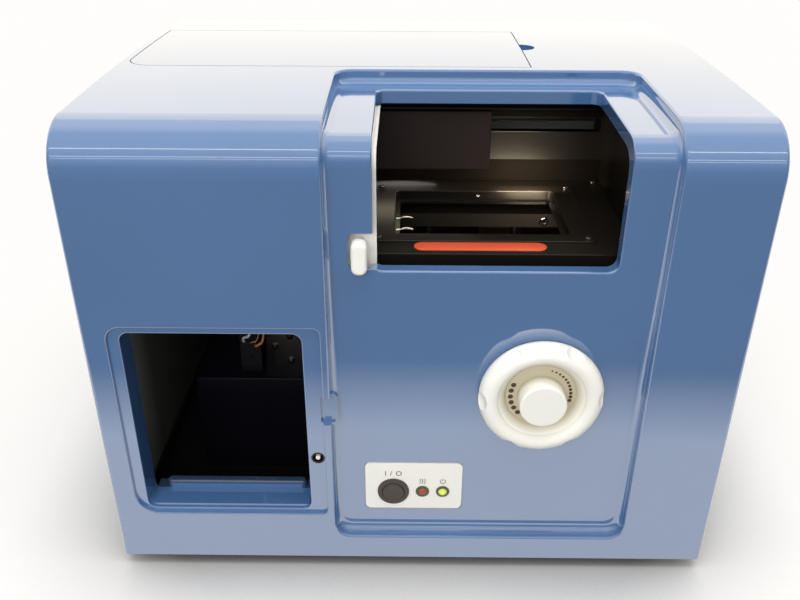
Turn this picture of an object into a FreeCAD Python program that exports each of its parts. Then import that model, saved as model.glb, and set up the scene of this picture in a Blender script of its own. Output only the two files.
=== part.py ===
import FreeCAD, Part
import math
import os
from FreeCAD import Vector

# Automated colony counter, millimetres. X to the right, Y to the rear, Z up.
# Depths are measured back from the front face; save() moves every piece so that the
# origin is the middle of the footprint at the underside of the feet.

# Housing
body_width = 470.0
body_depth = 400.0
foot_height = 10.0
crown_peak_z = 371.0
crown_peak_y = 200.0
crown_radius = 4305.0
skin = 4.0
top_edge_radius = 34.0
side_edge_radius = 3.0

# Recessed front panel, which runs up the front and over the top edge
panel_left = -61.0
panel_right = 169.0
panel_bottom = 32.0
panel_back = 144.5
panel_depth = 10.5
panel_corner = 13.0
panel_cove = 6.0
panel_rim = 2.0
bend_centre_depth = 36.0
panel_bend_radius = 18.0

# Loading window in the panel, with its inward return
window_left = -29.0
window_right = 139.0
window_sill = 265.0
window_back = 126.0
window_corner = 7.0
return_wall = 3.0
return_depth = 10.0
window_edge = 1.5
handle_notch_width = 17.0
handle_notch_height = 27.0
handle_notch_corner = 4.0
handle_notch_above_sill = 1.0

# Sliding door behind the panel
door_thickness = 2.0
door_lap = 6.0
door_open_show = 2.4
door_bottom_drop = 19.0
door_back_lap = 9.0
rail_wall = 1.0
rail_gap = 0.4
rail_clearance = 0.1
rail_height = 8.0
handle_width = 10.9
handle_height = 24.5
handle_thickness = 8.0
handle_stand_off = 1.0
handle_neck_width = 5.0
handle_neck_height = 14.0
handle_inset = 6.0
handle_above_sill = 0.3

# Service compartment at the lower left
bay_recess_left_margin = 17.5
bay_recess_right = -66.6
bay_recess_bottom = 55.0
bay_recess_top = 224.5
bay_recess_depth = 3.0
bay_recess_corner = 5.0
bay_recess_low_left_corner = 19.0
bay_recess_high_left_corner = 11.0
bay_left_margin = 26.0
bay_right = -80.0
bay_bottom = 58.0
bay_top = 218.5
bay_corner = 7.0
bay_return_depth = 26.0
bay_edge = 1.0
finger_notch_width = 10.5
finger_notch_height = 24.0
finger_notch_bottom = 142.0
finger_notch_depth = 6.0
catch_x = -72.5
catch_z = 109.0
catch_hole_radius = 4.0
catch_wall = 1.2
catch_depth = 12.0
catch_pin_radius = 1.8
catch_pin_height = 8.0

# Sill tray of the compartment
sill_thickness = 2.5
sill_depth = 29.0
sill_lip_start = 24.0
sill_lip_width = 8.0
sill_lip_height = 6.5
sill_lip_left_margin = 9.7
sill_lip_right_margin = 5.7
sill_lip_edge = 2.5

# Lift-up cover in the top
cover_left_margin = 8.5
cover_right = 89.5
cover_front = 154.0
cover_back = 300.0
cover_gap = 0.8
cover_thickness = 3.4
cover_round_corner = 20.0
cover_ledge = 8.0
cover_ledge_thickness = 3.0
cover_notch_y = 227.0
cover_notch_radius = 12.0
cover_notch_floor = 7.0
cover_tongue_length = 4.0
cover_tongue_width = 24.0
cover_tongue_inset = 30.0

# Base pan, feet and their screws
sheet_gap = 0.3
pan_thickness = 2.0
pan_flange = 16.0
foot_radius = 19.5
foot_edge = 2.5
foot_inset_x = 35.0
foot_inset_front = 28.0
foot_inset_rear = 30.0
foot_screw_radius = 2.5
foot_screw_head_radius = 4.5
foot_screw_head_height = 3.0
foot_screw_length = 13.0
foot_counterbore_depth = 5.0
screw_clearance = 0.25

# Rear panel
rear_open_half_width = 203.0
rear_open_bottom = 38.0
rear_open_top = 302.0
rear_lap = 9.0
rear_corner = 6.0
rear_rebate = 2.0
rear_screw_radius = 1.5
rear_screw_head_radius = 2.8
rear_screw_head_height = 1.6
rear_screw_length = 6.0

# Knob on the panel
knob_x = 92.7
knob_z = 168.5
knob_radius = 45.0
knob_back_gap = 1.2
knob_front_reach = 7.0
knob_groove_radius = 30.0
knob_groove_floor_depth = 3.5
knob_wall = 3.0
knob_hub_radius = 17.0
knob_hub_reach = 12.0
knob_dent_radius = 12.8
knob_dent_centre = 52.8
knob_dent_count = 6
knob_dent_first_angle = 2.0
knob_dot_ring_radius = 22.0
knob_dot_depth = 1.5
knob_cap_thickness = 2.5
knob_cap_edge = 1.2
shaft_radius = 4.0
running_gap = 0.05
seat_gap = 0.02
knob_boss_radius = 8.0
shaft_socket_depth = 6.0
bush_radius = 8.0
bush_flange_radius = 11.0
bush_flange_thickness = 2.0
bush_length = 12.0
shaft_end_depth = 66.0
collar_radius = 8.0
collar_length = 6.0

# Drive pinion and rack
gear_module = 1.5
pinion_teeth = 16
pinion_width = 10.0
pinion_front = 44.0
gear_backlash = 0.35
pressure_angle = 20.0
rack_width = 12.0
rack_back_thickness = 9.0
rack_top_margin = 34.0
rack_bottom_margin = 34.0

# Shaft bracket
bracket_thickness = 4.0
bracket_width = 18.0
bracket_front = 58.0
bracket_foot_length = 18.0
bracket_top_margin = 12.0

# Focus carriage, guide rods and camera
plate_centre_x = 50.0
plate_centre_y = 107.6
rod_radius = 4.0
rod_spacing = 76.0
rod_y = 170.0
rod_base_height = 15.0
rod_base_depth = 22.0
rod_base_width = 110.0
rod_bridge_height = 12.0
rod_bridge_below_stage = 18.0
carriage_bottom = 112.0
carriage_height = 36.0
carriage_depth = 22.0
carriage_width = 104.0
platform_thickness = 8.0
platform_width = 60.0
platform_front = 78.0
camera_side = 46.0
camera_height = 40.0
camera_edge = 3.0
lens_radius = 17.0
lens_height = 38.0
lens_step = 3.0
lens_glass_radius = 12.0
lens_glass_thickness = 2.0
lens_bore_depth = 8.0

# Control plate, switch and lamps
control_left = -37.0
control_right = 39.0
control_bottom = 53.5
control_top = 98.7
control_corner = 4.0
control_thickness = 1.8
control_pocket = 1.2
control_gap = 0.7
switch_x = -15.0
control_row_z = 71.0
switch_ring_radius = 12.5
switch_ring_reach = 1.6
switch_button_radius = 8.6
switch_body_radius = 10.5
switch_body_depth = 24.0
switch_button_reach = 1.0
switch_button_gap = 0.4
switch_travel = 2.0
switch_wall = 1.2
lamp_heat_x = 8.0
lamp_power_x = 24.0
lamp_ring_radius = 5.3
lamp_lens_radius = 3.4
lamp_stem_radius = 4.4
lamp_ring_reach = 1.0
lamp_depth = 12.0
lamp_dome = 1.6

# Chamber
liner_gap = 1.5
liner_sheet = 1.5
liner_left_margin = 29.0
liner_right_margin = 19.0
liner_flange = 10.0
liner_low_wall_y = 182.0
liner_step = 6.0
liner_small_step = 4.0
liner_step_bottom = 18.5
liner_step_height = 22.0
liner_slot_height = 13.0
liner_small_step_height = 8.0

# Stage and plate frame
stage_top = 268.5
stage_thickness = 4.0
stage_front = 35.0
stage_apron = 16.0
stage_gap = 0.4
frame_flange_x = 164.0
frame_flange_y = 113.0
frame_flange_thickness = 1.5
frame_corner = 3.0
pocket_x = 130.0
pocket_y = 87.0
pocket_depth = 8.0
pocket_corner = 4.0
pocket_wall = 2.0
ledge_x = 122.5
ledge_y = 79.5
ledge_thickness = 2.0
edge_break = 0.5
frame_screw_x = 153.2
frame_screw_y = 103.0
small_screw_radius = 1.5
small_screw_head_radius = 2.6
small_screw_head_height = 1.5
small_screw_length = 6.0
stage_screw_inset = 5.0
heater_width = 10.0
heater_thickness = 0.8
heater_gap = 1.0

# Light head on its rail behind the chamber wall
head_left = -45.0
head_width = 105.0
head_front = 140.0
head_depth = 38.0
head_clearance = 23.5
head_height = 48.0
head_edge = 1.5
head_travel = 90.0
diffuser_margin = 8.0
diffuser_thickness = 2.0
arm_thickness = 6.0
arm_width = 60.0
head_rail_width = 12.0
head_rail_height = 8.0
head_rail_y = 214.0
runner_length = 44.0
runner_wall = 5.0
beam_thickness = 3.0
beam_height = 30.0

# Chassis, bay wall and electronics
chassis_thickness = 1.5
chassis_back = 276.0
chassis_foot = 12.0
box_front = 110.0
box_top = 110.0
box_left = -190.0
box_back = 225.0
box_sheet = 1.5
box_edge = 1.2
terminal_left = -151.0
terminal_width = 18.0
terminal_front = 122.0
terminal_depth = 24.0
terminal_height = 46.0
terminal_edge = 1.5
terminal_screw_radius = 1.6
terminal_screw_height = 1.2
terminal_screw_above = 14.0
supply_length = 108.0
supply_width = 85.0
supply_height = 42.0
supply_margin = 4.0
board_thickness = 1.6
board_length = 150.0
board_height = 100.0
board_stand_off = 8.0
stand_off_radius = 3.0
stand_off_inset = 8.0
board_front_gap = 60.0
board_above_pan = 48.0
chip_side = 24.0
chip_height = 2.0
chip_inset = 40.0
plug_strip_length = 50.0
plug_strip_width = 8.0
plug_strip_height = 9.0
plug_strip_from_back = 60.0
plug_strip_from_bottom = 6.0
capacitor_radius = 5.0
capacitor_height = 12.0
capacitor_from_back = 50.0
capacitor_from_top = 40.0
motor_side = 42.0
motor_length = 34.0
motor_x = 85.0
motor_z = 204.0
motor_edge = 4.0
motor_boss_radius = 11.0
motor_boss_height = 2.0
tension_screw_x = 123.0
tension_screw_z = 203.0
tension_screw_radius = 6.0

# Fan in the rear panel, mains inlet and data socket
fan_from_side = 93.0
fan_z = 190.0
fan_side = 80.0
fan_depth = 25.0
fan_duct_radius = 37.5
fan_hub_radius = 17.0
fan_post_radius = 4.0
fan_blade_count = 7
fan_blade_gap = 1.5
fan_blade_thickness = 1.4
fan_blade_pitch = 38.0
fan_spoke_width = 4.0
fan_spoke_depth = 3.0
fan_ring_slots = 4
fan_slot_width = 4.0
fan_slot_pitch = 8.5
fan_first_slot_radius = 9.0
fan_bridge_width = 5.0
vent_from_side = 83.0
vent_z = 210.0
vent_slots = 12
vent_slot_width = 4.0
vent_slot_height = 60.0
vent_slot_pitch = 9.0
inlet_from_side = 53.0
inlet_z = 72.0
inlet_width = 27.0
inlet_height = 20.0
inlet_flange_width = 50.0
inlet_flange_height = 27.0
inlet_flange_thickness = 2.0
inlet_depth = 24.0
inlet_cavity_width = 23.0
inlet_cavity_height = 16.0
inlet_cavity_depth = 16.0
socket_from_side = 118.0
socket_z = 72.0
socket_width = 13.0
socket_height = 12.0
socket_depth = 16.0
socket_wall = 1.2
socket_floor = 3.0
socket_reach = 1.0
inlet_clearance = 0.4

body_half = body_width / 2
rear_reach = inlet_flange_thickness
fan_x = rear_open_half_width - fan_from_side
vent_x = vent_from_side - rear_open_half_width
inlet_x = inlet_from_side - rear_open_half_width
socket_x = socket_from_side - rear_open_half_width
front_y = (knob_hub_reach - body_depth - rear_reach) / 2
door_inset = panel_depth + return_depth + rail_clearance + rail_wall + rail_gap
liner_inset = door_inset + door_thickness + liner_gap
head_bottom = stage_top + head_clearance
head_top = head_bottom + head_height
chamber_left = window_left - liner_left_margin
chamber_right = window_right + liner_right_margin
pan_top = foot_height + pan_thickness
top_z = 600.0
far = 800.0


def block(x0, x1, y0, y1, z0, z1):
    return Part.makeBox(x1 - x0, y1 - y0, z1 - z0, Vector(x0, y0, z0))


def edges_along(shape, axis):
    found = []
    for edge in shape.Edges:
        if isinstance(edge.Curve, (Part.Line, Part.LineSegment)):
            direction = edge.tangentAt(edge.FirstParameter)
            if abs(abs(direction.dot(axis)) - 1) < 1e-6:
                found.append(edge)
    return found


def rounded_block(x0, x1, y0, y1, z0, z1, axis, radius):
    box = block(x0, x1, y0, y1, z0, z1)
    return box.makeFillet(radius, edges_along(box, axis))


def cylinder(radius, length, start, axis):
    return Part.makeCylinder(radius, length, start, axis)


def rod_y_axis(radius, x, z, y0, y1):
    return cylinder(radius, y1 - y0, Vector(x, y0, z), Y_AXIS)


def rod_z_axis(radius, x, y, z0, z1):
    return cylinder(radius, z1 - z0, Vector(x, y, z0), Z_AXIS)


def fuse(shapes):
    body = shapes[0].multiFuse(shapes[1:])
    return body.removeSplitter()


def face_of(points):
    return Part.Face(Part.makePolygon(points + [points[0]]))


def crown_z(y, inset):
    rise = math.sqrt((crown_radius - inset) ** 2 - (y - crown_peak_y) ** 2)
    return crown_peak_z - crown_radius + rise


X_AXIS = Vector(1, 0, 0)
Y_AXIS = Vector(0, 1, 0)
Z_AXIS = Vector(0, 0, 1)


# Side profile of the body, set in by the same distance at the front, top and rear
def profile_form(inset, front_radius, rear_radius, floor_z, half):
    front = inset
    rear = body_depth - inset
    low_front = Vector(-half, front, floor_z)
    high_front = Vector(-half, front, crown_z(front, inset))
    peak = Vector(-half, crown_peak_y, crown_z(crown_peak_y, inset))
    high_rear = Vector(-half, rear, crown_z(rear, inset))
    low_rear = Vector(-half, rear, floor_z)
    outline = Part.Wire([
        Part.LineSegment(low_front, high_front).toShape(),
        Part.Arc(high_front, peak, high_rear).toShape(),
        Part.LineSegment(high_rear, low_rear).toShape(),
        Part.LineSegment(low_rear, low_front).toShape(),
    ])
    solid = Part.Face(outline).extrude(Vector(2 * half, 0, 0))
    top_edges = [e for e in edges_along(solid, X_AXIS) if e.BoundBox.ZMin > floor_z + 1]
    front_edge = [e for e in top_edges if e.BoundBox.YMax < crown_peak_y]
    rear_edge = [e for e in top_edges if e.BoundBox.YMin > crown_peak_y]
    solid = solid.makeFillet(front_radius, front_edge)
    rear_edge = [e for e in edges_along(solid, X_AXIS)
                 if e.BoundBox.YMin > rear - 1 and e.BoundBox.ZMin > floor_z + 1]
    return solid.makeFillet(rear_radius, rear_edge)


def body_form(inset, radius, floor_z):
    return profile_form(inset, radius, radius, floor_z, body_half - inset)


# Everything deeper than the inset, endless to the sides and below
def depth_form(inset, radius):
    return profile_form(inset, radius, radius, -far, far)


# Layer form behind the panel: every layer bends about the same centre line
def layer_form(inset):
    return depth_form(inset, bend_centre_depth - inset)


def outer_body():
    solid = body_form(0.0, top_edge_radius, foot_height)
    side_edges = []
    for edge in solid.Edges:
        box = edge.BoundBox
        on_side = box.XMax - box.XMin < 1e-3
        if on_side:
            side_edges.append(edge)
    return solid.makeFillet(side_edge_radius, side_edges)


def hollow_body():
    return body_form(skin, top_edge_radius - skin, -far)


# A region seen square-on from the front and from above, with rounded corners in both views
def wrap_region(left, right, bottom, back, corner):
    front_view = rounded_block(left, right, -far, far, bottom, top_z, Y_AXIS, corner)
    top_view = rounded_block(left, right, -far, back, -far, far, Z_AXIS, corner)
    return front_view.common(top_view)


def lies_on(edge, shell):
    first = edge.FirstParameter
    last = edge.LastParameter
    for share in (0.2, 0.5, 0.8):
        point = Part.Vertex(edge.valueAt(first + (last - first) * share))
        if point.distToShape(shell)[0] > 1e-3:
            return False
    return True


# Space that the recessed panel takes out of the body, with its cove at the foot of the wall
def panel_void():
    region = wrap_region(panel_left, panel_right, panel_bottom, panel_back, panel_corner)
    floor = depth_form(panel_depth, panel_bend_radius)
    void = region.cut(floor)
    floor_shell = floor.Shells[0]
    region_shell = region.Shells[0]
    cove_edges = [e for e in void.Edges if lies_on(e, floor_shell) and lies_on(e, region_shell)]
    return void.makeFillet(panel_cove, cove_edges)


def window_region(grow):
    return wrap_region(window_left - grow, window_right + grow, window_sill - grow,
                       window_back + grow, window_corner + grow)


def window_return():
    ring = window_region(return_wall).cut(window_region(0.0))
    front_layer = depth_form(panel_depth + 0.5, panel_bend_radius)
    return ring.common(front_layer).cut(layer_form(panel_depth + return_depth))


def handle_notch():
    left = window_left - handle_notch_width
    right = window_left + window_corner + handle_notch_corner
    bottom = window_sill + handle_notch_above_sill
    return rounded_block(left, right, -1, panel_depth + return_depth + 1, bottom,
                         bottom + handle_notch_height, Y_AXIS, handle_notch_corner)


# Front-face outline with its own radius at each corner, extruded to the rear
def corner_outline(left, right, bottom, top, radii, y0, y1):
    low_left, high_left, high_right, low_right = radii
    box = block(left, right, y0, y1, bottom, top)
    corners = [(left, bottom, low_left), (left, top, high_left),
               (right, top, high_right), (right, bottom, low_right)]
    for x, z, radius in corners:
        edges = [e for e in edges_along(box, Y_AXIS)
                 if abs(e.BoundBox.XMin - x) < 0.01 and abs(e.BoundBox.ZMin - z) < 0.01]
        box = box.makeFillet(radius, edges)
    return box


def bay_recess():
    radii = (bay_recess_low_left_corner, bay_recess_high_left_corner,
             bay_recess_corner, bay_recess_corner)
    return corner_outline(-body_half + bay_recess_left_margin, bay_recess_right,
                          bay_recess_bottom, bay_recess_top, radii, -1, bay_recess_depth)


def bay_opening(grow, y0, y1):
    return rounded_block(-body_half + bay_left_margin - grow, bay_right + grow, y0, y1,
                         bay_bottom - grow, bay_top + grow, Y_AXIS, bay_corner + grow)


def bay_recess_backing():
    grow = skin - bay_recess_depth + 1.0
    return block(-body_half + bay_recess_left_margin - grow, bay_recess_right + grow,
                 skin / 2, skin + bay_recess_depth, bay_recess_bottom - grow, bay_recess_top + grow)


def bay_return():
    ring = bay_opening(return_wall, bay_recess_depth, bay_return_depth)
    return ring.cut(bay_opening(0.0, -far, far))


def finger_notch(grow):
    left = bay_recess_right - 2.0
    return rounded_block(left - grow, left + finger_notch_width + grow, -1,
                         finger_notch_depth + grow, finger_notch_bottom - grow,
                         finger_notch_bottom + finger_notch_height + grow, Y_AXIS, 2.0 + grow)


def cover_left():
    return -body_half + cover_left_margin


# Plan outline of the lift-up cover: one large corner at the front left, the others tight
def cover_plan(grow, z0, z1):
    left = cover_left() - grow
    box = block(left, cover_right + grow, cover_front - grow, cover_back + grow, z0, z1)
    middle_y = (cover_front + cover_back) / 2
    front_left = [e for e in edges_along(box, Z_AXIS)
                  if abs(e.BoundBox.XMin - left) < 0.01 and e.BoundBox.YMax < middle_y]
    return box.makeFillet(cover_round_corner + grow, front_left)


def cover_layer(outer_inset, inner_inset, grow):
    layer = depth_form(outer_inset, bend_centre_depth)
    under = depth_form(inner_inset, bend_centre_depth)
    return cover_plan(grow, 0, top_z).common(layer).cut(under)


def cover_ledge_ring():
    outer = cover_layer(skin, skin + cover_ledge_thickness, cover_ledge / 2)
    inner = cover_plan(-cover_ledge / 2, 0, top_z)
    return outer.cut(inner)


def cover_notch(radius, depth_below, z_top):
    z0 = crown_z(cover_notch_y, 0) - depth_below
    round_part = rod_z_axis(radius, cover_right, cover_notch_y, z0, z_top)
    half = block(cover_right, cover_right + far, -far, far, -far, far)
    return round_part.common(half)


def cover_notch_cup():
    depth = cover_notch_floor + skin / 2
    cup = cover_notch(cover_notch_radius + skin / 2, depth, crown_z(cover_notch_y, 0) - 1)
    return cup


def tongue_positions():
    return [cover_front + cover_tongue_inset, cover_back - cover_tongue_inset - cover_tongue_width]


def tongue_slot(y0, grow):
    z_low = crown_z(cover_back, skin + cover_ledge_thickness) - 1
    z_high = crown_z(crown_peak_y, cover_thickness)
    return block(cover_left() - cover_tongue_length - grow, cover_left() + cover_ledge, y0 - grow,
                 y0 + cover_tongue_width + grow, z_low, z_high)


def rear_opening():
    return rounded_block(-rear_open_half_width, rear_open_half_width, body_depth - far / 20,
                         body_depth + 1, rear_open_bottom, rear_open_top, Y_AXIS, rear_corner)


def rear_rebate_space():
    return rounded_block(-rear_open_half_width - rear_lap, rear_open_half_width + rear_lap,
                         body_depth - rear_rebate, body_depth + 1, rear_open_bottom - rear_lap,
                         rear_open_top + rear_lap, Y_AXIS, rear_corner)


def rear_screw_places():
    x = rear_open_half_width + rear_lap / 2
    low = rear_open_bottom - rear_lap / 2
    high = rear_open_top + rear_lap / 2
    middle = (low + high) / 2
    places = [(sx * x, z) for sx in (-1, 1) for z in (low, middle, high)]
    return places + [(0.0, low), (0.0, high)]


def rear_screw_holes(radius):
    return [rod_y_axis(radius, x, z, body_depth - 3 * skin, body_depth + 1)
            for x, z in rear_screw_places()]


# Pocket and through holes for the control plate, its switch and its lamps
def control_cuts():
    pocket = rounded_block(control_left - control_gap, control_right + control_gap, -1,
                           panel_depth + control_pocket, control_bottom - control_gap,
                           control_top + control_gap, Y_AXIS, control_corner)
    y0 = panel_depth - 1
    y1 = panel_depth + skin + 1
    switch = rod_y_axis(switch_body_radius + control_gap, switch_x, control_row_z, y0, y1)
    lamps = [rod_y_axis(lamp_stem_radius + screw_clearance, x, control_row_z, y0, y1)
             for x in (lamp_heat_x, lamp_power_x)]
    return [pocket, switch] + lamps


def housing_shell():
    region = wrap_region(panel_left - skin, panel_right + skin, panel_bottom - skin,
                         panel_back + skin, panel_corner + skin)
    panel_backing = region.cut(layer_form(panel_depth + skin))
    hollow = hollow_body().cut(panel_backing).cut(bay_recess_backing())
    shell = outer_body().cut(hollow)
    shell = shell.cut(panel_void())
    rim = [e for e in shell.Edges if is_panel_rim(e)]
    shell = shell.makeFillet(panel_rim, rim)
    cup_floor = cover_notch_cup()
    shell = shell.multiFuse([window_return(), bay_return(), cover_ledge_ring(), cup_floor,
                             finger_notch(skin / 2).common(hollow_body())])
    shell = round_window_edge(shell.cut(window_region(0.0)))
    shell = round_bay_edges(shell.cut(bay_recess()).cut(bay_opening(0.0, -1, skin * 3)))
    cuts = [handle_notch(), finger_notch(0.0), cover_layer(-1, skin + 0.01, cover_gap / 2),
            cover_notch(cover_notch_radius, cover_notch_floor, top_z), rear_opening(),
            rear_rebate_space()]
    cuts += [tongue_slot(y, 1.0) for y in tongue_positions()]
    cuts += [rod_y_axis(bush_radius + running_gap, knob_x, knob_z, panel_depth - 1,
                        panel_depth + skin + 1),
             rod_y_axis(catch_hole_radius + catch_wall + running_gap, catch_x, catch_z, -1,
                        catch_depth + running_gap)]
    cuts += control_cuts() + rear_screw_holes(rear_screw_radius)
    for cut in cuts:
        shell = shell.cut(cut)
    return shell.removeSplitter()


def round_window_edge(shell):
    region_shell = window_region(0.0).Shells[0]
    floor_shell = depth_form(panel_depth, panel_bend_radius).Shells[0]
    outer = [e for e in shell.Edges if lies_on(e, region_shell) and lies_on(e, floor_shell)]
    return shell.makeFillet(window_edge, outer)


def round_bay_edges(shell):
    recess_shell = bay_recess().Shells[0]
    opening_shell = bay_opening(0.0, -1, skin * 3).Shells[0]
    rims = []
    for edge in shell.Edges:
        box = edge.BoundBox
        on_front = box.YMax < 0.01 and lies_on(edge, recess_shell)
        on_floor = (abs(box.YMin - bay_recess_depth) < 0.01 and abs(box.YMax - bay_recess_depth) < 0.01
                    and lies_on(edge, opening_shell))
        if on_front or on_floor:
            rims.append(edge)
    return shell.makeFillet(bay_edge, rims)


def is_panel_rim(edge):
    box = edge.BoundBox
    inside = (box.XMin > panel_left - 0.5 and box.XMax < panel_right + 0.5
              and box.ZMin > panel_bottom - 0.5 and box.YMax < panel_back + 0.5)
    if not inside:
        return False
    return lies_on(edge, OUTER_SHELL)


# Sliding door: one sheet bent over the front and the top
def door_right_edge():
    return window_left + door_open_show


def door_travel():
    return window_right + door_lap - door_right_edge()


def door_left_edge():
    return door_right_edge() - (window_right - window_left) - 2 * door_lap - door_open_show


def door_bottom():
    return window_sill - door_bottom_drop


def door_back():
    return window_back + door_back_lap


def sheet_layer(outer_inset, thickness, x0, x1, z0, y1):
    slab = block(x0, x1, -far, y1, z0, top_z)
    return slab.common(layer_form(outer_inset)).cut(layer_form(outer_inset + thickness))


def sliding_door():
    return sheet_layer(door_inset, door_thickness, door_left_edge(), door_right_edge(),
                       door_bottom(), door_back())


# Handle: a rounded tab in front of the panel, on a neck that passes the notch
def handle_centre_x():
    return door_right_edge() - handle_inset - handle_width / 2


def door_handle():
    x = handle_centre_x()
    back = panel_depth - handle_stand_off
    bottom = window_sill + handle_above_sill
    tab = rounded_block(x - handle_width / 2, x + handle_width / 2, back - handle_thickness, back,
                        bottom, bottom + handle_height, Y_AXIS, handle_width / 2 - 0.5)
    front_edges = [e for e in tab.Edges if e.BoundBox.YMax < back - handle_thickness + 0.01]
    tab = tab.makeFillet(handle_width / 4, front_edges)
    middle = bottom + handle_height / 2 + 2
    neck = block(x - handle_neck_width / 2, x + handle_neck_width / 2, back - 1, door_inset,
                 middle - handle_neck_height / 2, middle + handle_neck_height / 2)
    return fuse([tab, neck])


def rail_span():
    return door_left_edge() - 2, door_right_edge() + door_travel() + 2


def door_rail_lower():
    x0, x1 = rail_span()
    y0 = door_inset - rail_gap - rail_wall
    y1 = liner_inset
    z0 = door_bottom() - rail_gap - rail_wall
    body = block(x0, x1, y0, y1, z0, z0 + rail_height)
    groove = block(x0 - 1, x1 + 1, door_inset - rail_gap, door_inset + door_thickness + rail_gap,
                   door_bottom() - rail_gap, z0 + far)
    return body.cut(groove)


def door_rail_upper():
    x0, x1 = rail_span()
    y0 = door_back() - rail_height + rail_wall
    y1 = door_back() + rail_gap + rail_wall
    body = sheet_layer(door_inset - rail_gap - rail_wall,
                       liner_inset - door_inset + rail_gap + rail_wall, x0, x1, 0, y1)
    body = body.common(block(x0, x1, y0, y1, 0, top_z))
    groove = sheet_layer(door_inset - rail_gap, door_thickness + 2 * rail_gap, x0 - 1, x1 + 1, 0,
                         door_back() + rail_gap)
    return body.cut(groove)


def top_cover():
    plate = cover_layer(0.0, cover_thickness, -cover_gap / 2)
    tongues = []
    for y0 in tongue_positions():
        z_under = min(crown_z(y0, cover_thickness), crown_z(y0 + cover_tongue_width, cover_thickness))
        tongues.append(block(cover_left() - cover_tongue_length, cover_left() + cover_ledge, y0,
                             y0 + cover_tongue_width, z_under - 1.6, z_under - 0.2))
    feet = [t.fuse(block(cover_left() + 4.5, cover_left() + cover_ledge, t.BoundBox.YMin,
                         t.BoundBox.YMax, t.BoundBox.ZMax - 0.5, t.BoundBox.ZMax + 1.5))
            for t in tongues]
    return fuse([plate] + feet)


def base_pan():
    x = body_half - skin - sheet_gap
    y0 = skin + sheet_gap
    y1 = body_depth - skin - sheet_gap
    tray = block(-x, x, y0, y1, foot_height, foot_height + pan_flange)
    inside = block(-x + pan_thickness, x - pan_thickness, y0 + pan_thickness, y1 - pan_thickness,
                   pan_top, foot_height + pan_flange + 1)
    holes = [rod_z_axis(foot_screw_radius + screw_clearance, x, y, 0, pan_top + 1)
             for x, y in foot_places()]
    return tray.cut(inside).cut(holes[0].multiFuse(holes[1:]))


def foot_places():
    x = body_half - foot_inset_x
    rear = body_depth - foot_inset_rear
    return [(-x, foot_inset_front), (x, foot_inset_front), (-x, rear), (x, rear)]


def foot_at(x, y):
    disc = rod_z_axis(foot_radius, x, y, 0, foot_height)
    lower = [e for e in disc.Edges if e.BoundBox.ZMax < 0.01]
    disc = disc.makeFillet(foot_edge, lower)
    counterbore = rod_z_axis(foot_screw_head_radius + 1, x, y, -1, foot_counterbore_depth)
    hole = rod_z_axis(foot_screw_radius + screw_clearance, x, y, 0, foot_height + 1)
    return disc.cut(counterbore).cut(hole)


def feet():
    return Part.makeCompound([foot_at(x, y) for x, y in foot_places()])


def foot_screws():
    screws = []
    for x, y in foot_places():
        head_bottom_z = foot_counterbore_depth - foot_screw_head_height
        head = rod_z_axis(foot_screw_head_radius, x, y, head_bottom_z, foot_counterbore_depth)
        shank = rod_z_axis(foot_screw_radius, x, y, foot_counterbore_depth - 1,
                           foot_counterbore_depth + foot_screw_length)
        screws.append(head.fuse(shank).removeSplitter())
    return Part.makeCompound(screws)


# Ring of arc slots in front of the fan, parted by radial bridges
def fan_slots(y0, y1):
    slots = []
    for index in range(fan_ring_slots):
        inner = fan_first_slot_radius + index * fan_slot_pitch
        ring = rod_y_axis(inner + fan_slot_width, fan_x, fan_z, y0, y1)
        slots.append(ring.cut(rod_y_axis(inner, fan_x, fan_z, y0 - 1, y1 + 1)))
    half = fan_bridge_width / 2
    reach = fan_duct_radius + fan_slot_pitch
    bridges = [block(fan_x - reach, fan_x + reach, y0 - 1, y1 + 1, fan_z - half, fan_z + half),
               block(fan_x - half, fan_x + half, y0 - 1, y1 + 1, fan_z - reach, fan_z + reach)]
    return [slot.cut(bridges[0]).cut(bridges[1]) for slot in slots]


def vent_slot_cuts(y0, y1):
    cuts = []
    for index in range(vent_slots):
        x = vent_x + (index - (vent_slots - 1) / 2) * vent_slot_pitch
        cuts.append(rounded_block(x - vent_slot_width / 2, x + vent_slot_width / 2, y0, y1,
                                  vent_z - vent_slot_height / 2, vent_z + vent_slot_height / 2,
                                  Y_AXIS, vent_slot_width / 2 - 0.1))
    return cuts


def rear_panel():
    gap = inlet_clearance
    y0 = body_depth - rear_rebate
    plate = rounded_block(-rear_open_half_width - rear_lap + gap, rear_open_half_width + rear_lap - gap,
                          y0, body_depth, rear_open_bottom - rear_lap + gap,
                          rear_open_top + rear_lap - gap, Y_AXIS, rear_corner)
    cuts = fan_slots(y0 - 1, body_depth + 1) + vent_slot_cuts(y0 - 1, body_depth + 1)
    cuts += rear_screw_holes(rear_screw_radius + screw_clearance)
    cuts.append(block(inlet_x - inlet_width / 2 - gap, inlet_x + inlet_width / 2 + gap, y0 - 1,
                      body_depth + 1, inlet_z - inlet_height / 2 - gap,
                      inlet_z + inlet_height / 2 + gap))
    cuts.append(block(socket_x - socket_width / 2 - gap, socket_x + socket_width / 2 + gap, y0 - 1,
                      body_depth + 1, socket_z - socket_height / 2 - gap,
                      socket_z + socket_height / 2 + gap))
    for cut in cuts:
        plate = plate.cut(cut)
    return plate


def rear_panel_screws():
    screws = []
    for x, z in rear_screw_places():
        head = rod_y_axis(rear_screw_head_radius, x, z, body_depth, body_depth + rear_screw_head_height)
        rim = [e for e in head.Edges if e.BoundBox.YMin > body_depth + 0.5]
        head = head.makeFillet(rear_screw_head_height / 2, rim)
        shank = rod_y_axis(rear_screw_radius - running_gap, x, z, body_depth - rear_screw_length,
                           body_depth + 0.5)
        screws.append(head.fuse(shank).removeSplitter())
    return Part.makeCompound(screws)


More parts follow.
